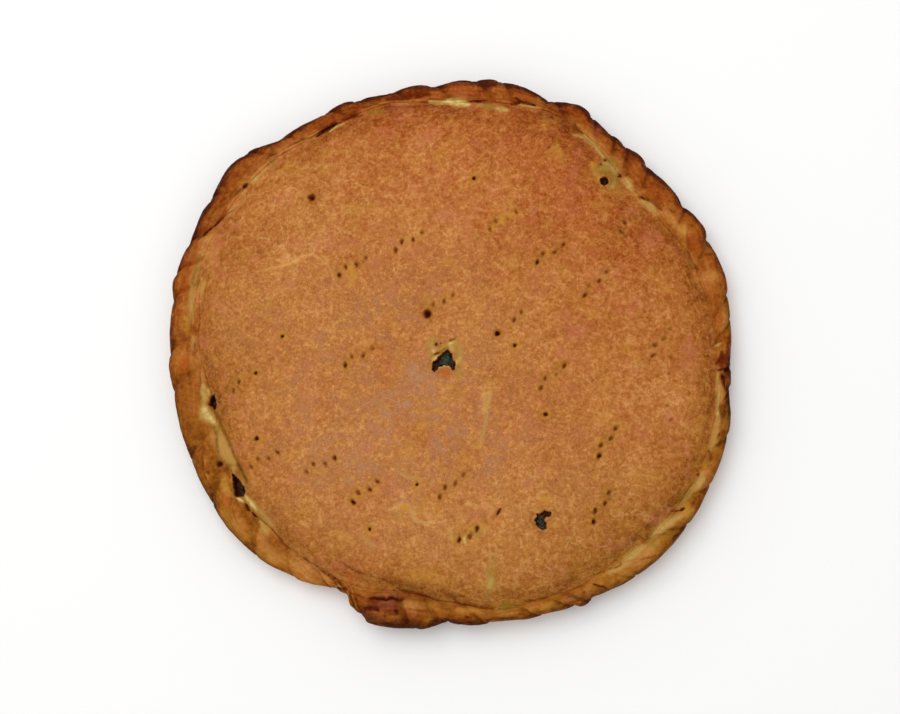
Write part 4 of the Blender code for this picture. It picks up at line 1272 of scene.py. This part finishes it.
def make_lid(rim_marks, lid_marks, material):
    """The lid: a round sheet, domed over the filling, pricked and vented."""
    sheet = bmesh.new()
    bmesh.ops.create_grid(sheet, x_segments=LID_STEPS, y_segments=LID_STEPS, size=1.0)
    places = read_places(sheet)
    share, turn = square_to_round(places[:, 0], places[:, 1])
    share = share + LID_EASE * np.sin(math.pi * share)
    radius = share * (groove_radius(np.degrees(turn)) + LID_TUCK)
    places[:, 0] = radius * np.cos(turn)
    places[:, 1] = radius * np.sin(turn)
    write_places(sheet, places)
    pricks = [(px, py, PRICK_REACH) for px, py, dark, lean in fork_pricks()]
    pricks += [(px, py, radius + HOLE_MARGIN) for px, py, radius, depth in HOLES]
    refine(sheet, pricks + list(along_thin_marks(lid_marks)), 1)
    vents = [(*np.mean(OPENINGS[name][0], axis=0), reach) for name, reach in OPENING_REACH.items()]
    refine(sheet, vents, 2)
    places = read_places(sheet)
    x = places[:, 0]
    y = places[:, 1]
    tints = lid_tints(x, y)
    height = lid_surface(x, y)
    flat = on_plan(x, y)
    height += swells(flat, LID_SWELLS)
    height += add_marks(rim_marks + lid_marks, x, y, tints)
    add_pricks(x, y, height, tints)
    add_openings(x, y, height, tints)
    places[:, 2] = height
    write_places(sheet, places)
    top = len(sheet.verts)
    rim = [edge for edge in sheet.edges if edge.is_boundary]
    skirt = bmesh.ops.extrude_edge_only(sheet, edges=rim)["geom"]
    lower = [item for item in skirt if isinstance(item, bmesh.types.BMVert)]
    for vert in lower:
        vert.co.z = LID_BASE
    cut = [item for item in skirt if isinstance(item, bmesh.types.BMEdge) and item.is_boundary]
    bmesh.ops.edgeloop_fill(sheet, edges=cut)
    for tint in tints:
        tints[tint] = np.append(tints[tint], np.full(len(sheet.verts) - top, 0.5))
    finish_piece("lid_sheet", sheet, tints, material, ["crust"])


def rope_tints(x, y, angle, over, height):
    """Browning of the lower sheet. Over is 0 at the widest edge and 1 at the groove."""
    tints = no_tints(x)
    places = np.column_stack((x, y, height))
    broad = ripple(places, *ROPE_BROAD)
    patchy = ripple(places, *ROPE_PATCHY)
    outer = blend(ROPE_TONE, 1, angle)
    inner = blend(ROPE_TONE, 2, angle)
    across = smooth(np.clip(over, 0.0, 1.0))
    tints["toast"] = outer + (inner - outer) * across + TONE_SWING * broad + TONE_SWING * patchy
    tints["redness"] = blend(ROPE_TONE, 3, angle) + REDNESS_SWING * broad
    return tints


def spin_lower_sheet():
    """Underside, wall and rope in one sheet: spun as numbered rows, then carried into place.

    Also gives how far over the rope each place lies: 1 at the groove, 0 at the widest edge and
    -1 at the foot and on the underside's grid.
    """
    rows = lower_sheet_rows()
    sheet = bmesh.new()
    column = [sheet.verts.new((1.0, 0.0, number)) for number in range(len(rows))]
    edges = [sheet.edges.new(pair) for pair in zip(column, column[1:])]
    bmesh.ops.spin(sheet, geom=column + edges, axis=(0, 0, 1), cent=(0, 0, 0),
                   angle=math.tau, steps=ROPE_STEPS, use_merge=True)
    bmesh.ops.remove_doubles(sheet, verts=sheet.verts, dist=1e-5)
    drum = read_places(sheet)
    number = np.rint(drum[:, 2]).astype(int)
    angle = np.degrees(np.arctan2(drum[:, 1], drum[:, 0]))
    radius = np.zeros(len(drum))
    height = np.zeros(len(drum))
    over = np.zeros(len(drum))
    for k, (place, share) in enumerate(rows):
        row = number == k
        radius[row], height[row] = place(angle[row], share)
        over[row] = {hidden_place: 1.0, rope_place: share}.get(place, share - 1.0)
    turn = np.radians(angle)
    places = np.column_stack((radius * np.cos(turn), radius * np.sin(turn), height))
    write_places(sheet, places)

    open_edges = [edge for edge in sheet.edges if edge.is_boundary]
    foot_ring = [edge for edge in open_edges if number[edge.verts[0].index] == len(rows) - 1]
    cut_ring = [edge for edge in open_edges if number[edge.verts[0].index] == 0]
    bmesh.ops.edgeloop_fill(sheet, edges=cut_ring)
    before = len(sheet.verts)
    made = bmesh.ops.create_grid(sheet, x_segments=CORE_STEPS, y_segments=CORE_STEPS, size=1.0)
    core = made["verts"]
    flat = np.array([vert.co for vert in core])
    share, turn = square_to_round(flat[:, 0], flat[:, 1])
    reach = share * CORE_SHARE * (edge_radius(np.degrees(turn)) - FOOT_INSET)
    for vert, r, t in zip(core, reach, turn):
        vert.co = (r * math.cos(t), r * math.sin(t), 0.0)
    core_rim = [edge for edge in sheet.edges if edge.is_boundary and edge not in foot_ring]
    bmesh.ops.bridge_loops(sheet, edges=foot_ring + core_rim)
    bmesh.ops.recalc_face_normals(sheet, faces=sheet.faces)
    sheet.normal_update()
    return sheet, np.append(over, np.full(len(sheet.verts) - before, -1.0))


def add_creases(angle, reach, over, tints):
    """Paints shade along the creases between the folds, and gives how deep they are sunk."""
    share, span = pleat_share(angle + PLEAT_LEAN * np.clip(over, 0.0, 1.0))[1:]
    nearest = np.minimum(share, 1.0 - share) * span * np.radians(reach)
    fold = CREASE_LINE_STAIN * blend(FOLD_DARKNESS, 1, angle) * bell(nearest, CREASE_LINE_WIDTH)
    fold = fold * (over > 0.0) * np.clip(1.15 - over, 0.0, 1.0)
    lay_on(tints, "stain", fold)
    return CREASE_DEPTH * bell(nearest, CREASE_WIDTH) * (over > CREASES_STOP)


def rope_streaks(places, angle, reach):
    """Fine streaks that run round the pie with the rolled dough."""
    along = np.column_stack((reach * np.radians(angle) / STREAK_LENGTH,
                             (reach - STREAK_LEAN * angle) / STREAK_WIDTH,
                             places[:, 2] / STREAK_RISE))
    return swells(along, ROPE_STREAKS)


def burn_edge(places, angle, reach, over, streak, tints):
    """Scorches the widest edge in patches, with a browned band round it."""
    from_edge = np.clip(edge_radius(angle) - reach, 0.0, None)
    burn = blend(EDGE_BURN, 2, angle) * np.exp(-(from_edge / blend(EDGE_BURN, 1, angle)) ** 3)
    patchy = swells(places, BURN_PATCHES) - BURN_STREAKS * streak
    burn = burn * np.clip(BURN_COVER + patchy, 0.0, 1.0) * (1.0 - BURN_LIP * bell(from_edge, BURN_LIP_WIDTH))
    burn = BURN_LEVEL * burn * bell(np.clip(-over, 0.0, 1.0), BURN_FALL) * (over < 0.5)
    lay_on(tints, "scorch", burn)
    browned = blend(EDGE_BURN, 2, angle) * bell(from_edge, BROWNED_WIDTH) * (1.0 + 0.5 * patchy)
    on_wall = 1.0 - smooth(np.clip(-1.1 * over - 0.1, 0.0, 1.0))
    tints["toast"] += BROWNED_TONE * browned * on_wall


def make_lower_sheet(marks, material):
    """The lower sheet: marked, creased, streaked, burnt at its edge, pricked and torn."""
    sheet, over = spin_lower_sheet()
    places = read_places(sheet)
    normals = np.array([vert.normal for vert in sheet.verts])
    angle, reach = polar(places[:, 0], places[:, 1])
    x = places[:, 0]
    y = places[:, 1]
    tints = rope_tints(x, y, angle, over, places[:, 2])
    above = smooth(np.clip((over - MARKS_STOP) / -MARKS_STOP, 0.0, 1.0))
    relief = above * add_marks(marks, x, y, tints)
    relief -= add_creases(angle, reach, over, tints)
    relief += swells(places, ROPE_SWELLS)
    streak = rope_streaks(places, angle, reach)
    relief += STREAK_RELIEF * streak * (over > STREAKS_STOP)
    # Painted light and shade: lighter on the raised streaks, darker in the deepest ones
    tints["toast"] -= STREAK_TONE * streak
    dark_streak = STREAK_STAIN * np.clip(-DARK_STREAK - streak, 0.0, 0.5) * (over > STAINS_STOP)
    lay_on(tints, "stain", dark_streak)
    burn_edge(places, angle, reach, over, streak, tints)
    # Painted shade in the creases and painted light on the crowns of the folds
    swell = pleat_swell(angle + PLEAT_LEAN * np.clip(over, 0.0, 1.0))
    tints["toast"] += PLEAT_TONE * (PLEAT_LEVEL - swell) * (over > CREASES_STOP)
    below = over <= UNDERSIDE_STARTS
    relief = np.where(below, -UNDERSIDE_HOLLOW * np.abs(swells(places, UNDERSIDE_SWELLS)), relief)
    places = places + normals * relief[:, None]
    height = places[:, 2].copy()
    shown = over > PRICKS_STOP
    top_tints = {tint: values[shown] for tint, values in tints.items()}
    top_height = height[shown]
    add_pricks(x[shown], y[shown], top_height, top_tints)
    add_openings(x[shown], y[shown], top_height, top_tints)
    height[shown] = top_height
    for tint, values in top_tints.items():
        tints[tint][shown] = values
    places[:, 2] = np.maximum(height, 0.0)
    write_places(sheet, places)
    finish_piece("lower_sheet", sheet, tints, material, ["crust"])


def make_filling(name, opening, heart, material):
    """Moist lumps of filling in one opening: green-black near its heart, maroon further out."""
    outline, floor, top = opening
    lump = bmesh.new()
    base = lump.faces.new([lump.verts.new((x, y, floor - BASE_DEPTH)) for x, y in outline])
    raised = bmesh.ops.extrude_face_region(lump, geom=[base])["geom"]
    crown = [item for item in raised if isinstance(item, bmesh.types.BMVert)]
    bmesh.ops.translate(lump, verts=crown, vec=(0.0, 0.0, top - floor + BASE_DEPTH))
    bmesh.ops.triangulate(lump, faces=lump.faces)
    bmesh.ops.subdivide_edges(lump, edges=lump.edges, cuts=FILLING_CUTS, use_grid_fill=True)
    bmesh.ops.triangulate(lump, faces=[face for face in lump.faces if len(face.verts) > 4])
    places = read_places(lump)
    lumps = swells(places, FILLING_LUMPS)
    sunk = np.clip(distance_inside(places[:, 0], places[:, 1], outline), 0.0, 2.0)
    on_top = places[:, 2] > top - 0.1
    places[:, 2] += on_top * (FILLING_RELIEF * lumps - FILLING_SINK + 0.4 * sunk)
    write_places(lump, places)
    from_heart = np.hypot(places[:, 0] - heart[0], places[:, 1] - heart[1])
    tints = {"maroon": smooth(np.clip((from_heart - heart[2]) / MAROON_FADE, 0.0, 1.0))}
    finish_piece(name + "_lumps", lump, tints, material, ["filling_" + name])


def colour(red, green, blue):
    """A colour as a paint chart gives it, from 0 to 255, turned into the shader's own scale."""
    def linear(value):
        share = value / 255.0
        return share / 12.92 if share <= 0.04045 else ((share + 0.055) / 1.055) ** 2.4
    return (linear(red), linear(green), linear(blue), 1.0)


def add_node(tree, kind, inputs=None, **settings):
    """Adds a node. Each input gets a value, or the socket that feeds it."""
    made = tree.nodes.new(kind)
    for name, value in settings.items():
        setattr(made, name, value)
    for name, value in (inputs or {}).items():
        if isinstance(value, bpy.types.NodeSocket):
            tree.links.new(value, made.inputs[name])
        else:
            made.inputs[name].default_value = value
    return made


def maths(tree, operation, first, second=0.0, third=0.0, clamp=False):
    made = add_node(tree, "ShaderNodeMath", {0: first, 1: second, 2: third},
                    operation=operation, use_clamp=clamp)
    return made.outputs[0]


def times(tree, first, second):
    return maths(tree, "MULTIPLY", first, second)


def mix(tree, share, first, second):
    return add_node(tree, "ShaderNodeMix", {0: share, 6: first, 7: second}, data_type="RGBA").outputs[2]


def rise(tree, value, low, high, top=1.0):
    """0 below low, top above high, and smooth between."""
    made = add_node(tree, "ShaderNodeMapRange",
                    {"Value": value, "From Min": low, "From Max": high, "To Min": 0.0, "To Max": top},
                    interpolation_type="SMOOTHSTEP")
    return made.outputs[0]


def cloud(tree, place, scale, detail=3.0, rough=0.5):
    made = add_node(tree, "ShaderNodeTexNoise",
                    {"Vector": place, "Scale": scale, "Detail": detail, "Roughness": rough})
    return made.outputs["Fac"]


def swung(tree, value, amount, base=0.0):
    """The base, moved up and down as a cloud goes over and under its middle."""
    return maths(tree, "MULTIPLY_ADD", maths(tree, "SUBTRACT", value, 0.5), amount, base)


def pushed(tree, place, seed, scale, reach):
    """The place, pushed about by a cloud, so that a pattern laid on it doesn't run straight."""
    push = add_node(tree, "ShaderNodeTexNoise", {"Vector": seed, "Scale": scale, "Detail": 2.0})
    shift = add_node(tree, "ShaderNodeVectorMath", {0: push.outputs["Color"], 3: reach}, operation="SCALE")
    return add_node(tree, "ShaderNodeVectorMath", {0: place, 1: shift.outputs[0]},
                    operation="ADD").outputs[0]


def crack_net(tree, place, scale, width):
    """Thin lines between the cells of a net."""
    cells = add_node(tree, "ShaderNodeTexVoronoi", {"Vector": place, "Scale": scale},
                     feature="DISTANCE_TO_EDGE").outputs["Distance"]
    return maths(tree, "SUBTRACT", 1.0, rise(tree, cells, 0.0, width))


def painted(tree, shade, mask, raggedness, span, tint):
    """The shade with a tint over it where its mask says, with ragged edges."""
    share = rise(tree, times(tree, mask, raggedness), *span)
    return mix(tree, share, shade, colour(*tint))


def browning(tree, tone, stops):
    made = add_node(tree, "ShaderNodeValToRGB", {"Fac": tone})
    ramp = made.color_ramp
    while len(ramp.elements) < len(stops):
        ramp.elements.new(0.5)
    for element, (position, shade) in zip(ramp.elements, stops):
        element.position = position
        element.color = colour(*shade)
    return made.outputs["Color"]


# Browning of the dough from pale to dark, where it is golden and where it is russet
GOLDEN_BROWNING = (
    (0.0, (204, 150, 88)), (0.25, (176, 115, 55)), (0.5, (150, 91, 24)), (0.75, (112, 62, 9)),
    (1.0, (60, 28, 3)))
RUSSET_BROWNING = (
    (0.0, (206, 134, 76)), (0.25, (176, 98, 46)), (0.5, (146, 68, 17)), (0.75, (106, 42, 6)),
    (1.0, (56, 18, 3)))

# Colours of the tints that lie over the browning, from 0 to 255
# The flour colour also stands for a painted sheen in the middle of the lid
FLOUR_COLOUR = (168, 118, 84)
BLUSH_COLOUR = (176, 84, 26)
STRAW_COLOUR = (180, 140, 72)
CREAM_COLOUR = (222, 194, 122)
OLIVE_COLOUR = (136, 104, 30)
HONEY_COLOUR = (186, 130, 50)
CRACK_COLOUR = (212, 162, 98)
PINK_COLOUR = (184, 106, 72)
# The stain and scorch colours also serve as painted shade in creases, gashes, pricks, streaks and openings
STAIN_COLOUR = (104, 34, 2)
SCORCH_COLOUR = (60, 17, 2)
CRUMB_COLOUR = (206, 144, 92)

# Plain colours of the dough and the filling where a viewport shows no shader
PLAIN_DOUGH = (176, 112, 56)
PLAIN_FILLING = (30, 34, 20)

# The pattern is bent and twisted a little before it is laid on: scale, and reach in metres
BENDING = (70.0, 0.006)
TWISTING = (320.0, 0.004)

# Clouds of the dough's own mottling: scale to a metre, detail and roughness
BLOTCH_CLOUD = (60.0, 4.0, 0.7)
MIDDLE_CLOUD = (210.0, 4.0, 0.6)
PATCH_CLOUD = (430.0, 2.0)
FINE_CLOUD = (520.0, 4.0, 0.65)
CRUMB_CLOUD = (1150.0, 3.0, 0.6)
GRAIN_CLOUD = (2400.0, 2.0, 0.5)

# How strongly the clouds swing the tone and the redness
MIDDLE_SWING = 0.64
FINE_SWING = 0.95
GRAIN_SWING = 0.60
MIDDLE_REDNESS = 0.9

# Where a cloud or a mask begins to show, where it shows fully, and how strongly if less than 1
PATCH_SPAN = (0.34, 0.66)
ROSY_SPAN = (0.52, 0.70, 0.48)
SUNNY_SPAN = (0.48, 0.30, 0.45)
DUSTY_SPAN = (0.36, 0.64)
SPECK_SPAN = (0.54, 0.70)
CRUMB_SPAN = (0.47, 0.34, 0.55)
SMALL_CRUMB_SPAN = (0.44, 0.34, 0.2)
TINT_SPAN = (0.03, 0.9)
PALE_SPAN = (0.03, 0.55)
CREAM_SPAN = (0.45, 0.95)
STAIN_SPAN = (0.05, 0.85)
SPECK_SHARE = 0.45

# Fine cracks in the baked skin: scale and line width of the two nets, the cloud that breaks
# the coarse one up, how much of the small one is added, and how strongly the lines show
COARSE_NET = (92.0, 0.07)
SMALL_NET = (240.0, 0.16)
NET_CLOUD = (150.0, 3.0)
NET_SPAN = (0.44, 0.62)
SMALL_NET_SHARE = 0.35
NET_SHADE = 0.42

# How ragged the patches make the edge of a tint: amount and base
TINT_RAGGEDNESS = (0.6, 0.7)
PALE_RAGGEDNESS = (0.3, 0.85)
STAIN_RAGGEDNESS = (0.4, 0.8)

# Roughness of the dough, and what each cloud adds to its bumps
DOUGH_ROUGHNESS = 0.62
FINE_ROUGHNESS = 0.18
STAIN_ROUGHNESS = -0.4
FINE_BUMPS = 0.5
MIDDLE_BUMPS = 0.5
GRAIN_BUMPS = 0.25
NET_BUMPS = -0.15
BUMP_HEIGHT = 0.0006      # metres
DOUGH_GLOSS = 0.04

# Mottling and bumps of the two sheets
LID_MOTTLE = 1.0
LID_BUMP = 0.7
ROPE_MOTTLE = 0.62
ROPE_BUMP = 0.8


def make_baked_dough_group():
    """Turns the tint masks and the dough's own mottling into colour, roughness and height."""
    group = bpy.data.node_groups.new("baked_dough", "ShaderNodeTree")
    for name in [tint.capitalize() for tint in TINTS] + ["Mottle"]:
        group.interface.new_socket(name=name, in_out="INPUT", socket_type="NodeSocketFloat")
    for name, kind in (("Color", "Color"), ("Roughness", "Float"), ("Height", "Float")):
        group.interface.new_socket(name=name, in_out="OUTPUT", socket_type="NodeSocket" + kind)
    masks = add_node(group, "NodeGroupInput").outputs

    # The dough's own clouds
    place = add_node(group, "ShaderNodeTexCoord").outputs["Object"]
    bent = pushed(group, place, place, *BENDING)
    blotch = cloud(group, bent, *BLOTCH_CLOUD)
    middle = cloud(group, bent, *MIDDLE_CLOUD)
    patches = rise(group, cloud(group, place, *PATCH_CLOUD), *PATCH_SPAN)
    fine = cloud(group, place, *FINE_CLOUD)
    grain = cloud(group, place, *GRAIN_CLOUD)

    # Fine cracks in the skin
    twisted = pushed(group, bent, place, *TWISTING)
    net_patches = rise(group, cloud(group, place, *NET_CLOUD), *NET_SPAN)
    coarse = times(group, crack_net(group, twisted, *COARSE_NET), net_patches)
    small = times(group, crack_net(group, twisted, *SMALL_NET), patches)
    lines = maths(group, "MULTIPLY_ADD", small, SMALL_NET_SHARE, coarse)
    lines = maths(group, "MULTIPLY", lines, masks["Crackle"], clamp=True)

    # Browning, with the painted shade that the toast tint carries, from golden to russet
    swing = swung(group, fine, FINE_SWING, swung(group, middle, MIDDLE_SWING))
    swing = swung(group, grain, GRAIN_SWING, swing)
    tone = maths(group, "MULTIPLY_ADD", swing, masks["Mottle"], masks["Toast"])
    redness = maths(group, "SUBTRACT", middle, 0.5)
    redness = maths(group, "MULTIPLY_ADD", redness, MIDDLE_REDNESS, masks["Redness"], clamp=True)
    shade = mix(group, redness, browning(group, tone, GOLDEN_BROWNING),
                browning(group, tone, RUSSET_BROWNING))

    # Rosy and sunny blotches
    rosy = times(group, rise(group, blotch, *ROSY_SPAN), masks["Mottle"])
    shade = mix(group, rosy, shade, colour(*PINK_COLOUR))
    sunny = times(group, rise(group, blotch, *SUNNY_SPAN), masks["Mottle"])
    shade = mix(group, sunny, shade, colour(*HONEY_COLOUR))

    # Dusting of flour with a painted sheen, crack lines and pale crumb
    dusty = times(group, masks["Flour"], rise(group, middle, *DUSTY_SPAN))
    specks = times(group, masks["Flour"], rise(group, grain, *SPECK_SPAN))
    dusty = maths(group, "MULTIPLY_ADD", specks, SPECK_SHARE, dusty, clamp=True)
    shade = mix(group, dusty, shade, colour(*FLOUR_COLOUR))
    shade = mix(group, times(group, lines, NET_SHADE), shade, colour(*CRACK_COLOUR))
    crumb = rise(group, cloud(group, place, *CRUMB_CLOUD), *CRUMB_SPAN)
    crumb = maths(group, "ADD", rise(group, fine, *SMALL_CRUMB_SPAN), crumb)
    crumb = times(group, crumb, masks["Crumb"])
    shade = mix(group, crumb, shade, colour(*CRUMB_COLOUR))

    # Tints of the patches and marks
    ragged = maths(group, "MULTIPLY_ADD", patches, *TINT_RAGGEDNESS)
    for name, tint in (("Honey", HONEY_COLOUR), ("Blush", BLUSH_COLOUR), ("Olive", OLIVE_COLOUR)):
        shade = painted(group, shade, masks[name], ragged, TINT_SPAN, tint)
    pale = maths(group, "MULTIPLY_ADD", patches, *PALE_RAGGEDNESS)
    pale = times(group, masks["Pale"], pale)
    light = mix(group, rise(group, pale, *CREAM_SPAN), colour(*STRAW_COLOUR), colour(*CREAM_COLOUR))
    shade = mix(group, rise(group, pale, *PALE_SPAN), shade, light)
    # Stains and scorch, which also paint the shade of creases, gashes, pricks, streaks and openings
    worn = maths(group, "MULTIPLY_ADD", patches, *STAIN_RAGGEDNESS)
    for name, tint in (("Stain", STAIN_COLOUR), ("Scorch", SCORCH_COLOUR)):
        shade = painted(group, shade, masks[name], worn, STAIN_SPAN, tint)

    rough = maths(group, "MULTIPLY_ADD", fine, FINE_ROUGHNESS, DOUGH_ROUGHNESS)
    rough = maths(group, "MULTIPLY_ADD", masks["Stain"], STAIN_ROUGHNESS, rough, clamp=True)
    bumps = maths(group, "MULTIPLY_ADD", fine, FINE_BUMPS, times(group, middle, MIDDLE_BUMPS))
    bumps = maths(group, "MULTIPLY_ADD", grain, GRAIN_BUMPS, bumps)
    bumps = maths(group, "MULTIPLY_ADD", lines, NET_BUMPS, bumps)
    add_node(group, "NodeGroupOutput", {"Color": shade, "Roughness": rough, "Height": bumps})
    return group


def new_material(name):
    """A new material and its shader."""
    material = bpy.data.materials.new(name)
    material.use_nodes = True
    return material, material.node_tree.nodes["Principled BSDF"]


def make_dough(name, group, mottle, bump):
    """A baked crust: the shared dough with this sheet's own tints."""
    material, shader = new_material(name)
    tree = material.node_tree
    dough = add_node(tree, "ShaderNodeGroup", node_tree=group)
    for tint in TINTS:
        layer = add_node(tree, "ShaderNodeAttribute", attribute_name=tint)
        tree.links.new(layer.outputs["Fac"], dough.inputs[tint.capitalize()])
    dough.inputs["Mottle"].default_value = mottle
    relief = add_node(tree, "ShaderNodeBump", {"Height": dough.outputs["Height"], "Strength": bump,
                                               "Distance": BUMP_HEIGHT})
    tree.links.new(dough.outputs["Color"], shader.inputs["Base Color"])
    tree.links.new(dough.outputs["Roughness"], shader.inputs["Roughness"])
    tree.links.new(relief.outputs["Normal"], shader.inputs["Normal"])
    shader.inputs["Specular IOR Level"].default_value = DOUGH_GLOSS
    material.diffuse_color = colour(*PLAIN_DOUGH)
    return material


# Moist filling: its clouds, then for each kind the dark shade, the lighter one and the flecks,
# and the spans over which the lighter one and the flecks show
LUMP_CLOUD = (330.0, 3.0, 0.6)
FLECK_CLOUD = (900.0, 2.0, 0.6)
GREEN_FILLING = ((30, 17, 5), (44, 62, 42), (80, 98, 72), (0.40, 0.60), (0.58, 0.72))
MAROON_FILLING = ((46, 19, 7), (86, 42, 22), (102, 76, 66), (0.42, 0.62), (0.60, 0.74))
FILLING_ROUGHNESS = 0.35
LUMP_ROUGHNESS = 0.4
FILLING_GLOSS = 0.15
FLECK_BUMP = 0.5
FLECK_HEIGHT = 0.0008     # metres


def make_filling_material():
    """Moist dark filling: green-black and teal, or maroon with a few mauve flecks."""
    material, shader = new_material("moist_filling")
    tree = material.node_tree
    place = add_node(tree, "ShaderNodeTexCoord").outputs["Object"]
    lumps = cloud(tree, place, *LUMP_CLOUD)
    flecks = cloud(tree, place, *FLECK_CLOUD)
    shades = []
    for dark, light, fleck, light_span, fleck_span in (GREEN_FILLING, MAROON_FILLING):
        shade = mix(tree, rise(tree, lumps, *light_span), colour(*dark), colour(*light))
        shades.append(mix(tree, rise(tree, flecks, *fleck_span), shade, colour(*fleck)))
    maroon = add_node(tree, "ShaderNodeAttribute", attribute_name="maroon").outputs["Fac"]
    relief = add_node(tree, "ShaderNodeBump", {"Height": flecks, "Strength": FLECK_BUMP,
                                               "Distance": FLECK_HEIGHT})
    roughness = maths(tree, "MULTIPLY_ADD", lumps, LUMP_ROUGHNESS, FILLING_ROUGHNESS)
    tree.links.new(mix(tree, maroon, *shades), shader.inputs["Base Color"])
    tree.links.new(roughness, shader.inputs["Roughness"])
    tree.links.new(relief.outputs["Normal"], shader.inputs["Normal"])
    shader.inputs["Specular IOR Level"].default_value = FILLING_GLOSS
    material.diffuse_color = colour(*PLAIN_FILLING)
    return material


FLOOR_SIZE = 6000.0
FLOOR_DROP = 0.2
FLOOR_COLOUR = (244, 244, 243)
FLOOR_ROUGHNESS = 0.9

# The studio: an even white room, and one large window light at the upper left, in metres
ROOM_BRIGHTNESS = 0.76
WINDOW_PLACE = (-0.45, 0.6, 1.8)
WINDOW_SIZE = 1.5
WINDOW_POWER = 17.0


def make_floor():
    sheet = bmesh.new()
    bmesh.ops.create_grid(sheet, x_segments=1, y_segments=1, size=0.5 * FLOOR_SIZE * MM)
    bmesh.ops.translate(sheet, verts=sheet.verts, vec=(0.0, 0.0, -FLOOR_DROP * MM))
    mesh = bpy.data.meshes.new("studio_floor")
    sheet.to_mesh(mesh)
    sheet.free()
    material, shader = new_material("pale_floor")
    shader.inputs["Base Color"].default_value = colour(*FLOOR_COLOUR)
    shader.inputs["Roughness"].default_value = FLOOR_ROUGHNESS
    mesh.materials.append(material)
    floor = bpy.data.objects.new("studio_floor", mesh)
    link(floor)


def make_camera():
    right, up, back, eye = view_axes()
    lens = bpy.data.cameras.new("photo_view")
    lens.lens = LENS
    lens.sensor_width = SENSOR
    camera = bpy.data.objects.new("photo_view", lens)
    camera.matrix_world = Matrix.Translation(eye * MM) @ Matrix((right, up, back)).transposed().to_4x4()
    link(camera)
    bpy.context.scene.camera = camera


def make_light(name, place, size, power):
    lamp = bpy.data.lights.new(name, "AREA")
    lamp.shape = "SQUARE"
    lamp.size = size
    lamp.energy = power
    light = bpy.data.objects.new(name, lamp)
    light.location = place
    light.rotation_euler = Vector(place).to_track_quat("Z", "Y").to_euler()
    link(light)


def make_studio():
    world = bpy.data.worlds.new("soft_room")
    world.use_nodes = True
    background = world.node_tree.nodes["Background"]
    background.inputs["Color"].default_value = (1.0, 1.0, 1.0, 1.0)
    background.inputs["Strength"].default_value = ROOM_BRIGHTNESS
    bpy.context.scene.world = world
    make_light("window_light", WINDOW_PLACE, WINDOW_SIZE, WINDOW_POWER)
    bpy.context.scene.view_settings.view_transform = "Standard"


def main():
    make_camera()
    make_studio()
    make_floor()
    dough = make_baked_dough_group()
    rim_marks = placed_marks(RIM_TINTS + RIM_MARKS, rim_pixels)
    lid_marks = placed_marks(LID_MARKS)
    make_lid(rim_marks, lid_marks, make_dough("baked_lid", dough, LID_MOTTLE, LID_BUMP))
    make_lower_sheet(rim_marks, make_dough("baked_rope", dough, ROPE_MOTTLE, ROPE_BUMP))
    filling = make_filling_material()
    for name, opening in OPENINGS.items():
        make_filling(name, opening, HEARTS[name], filling)


main()
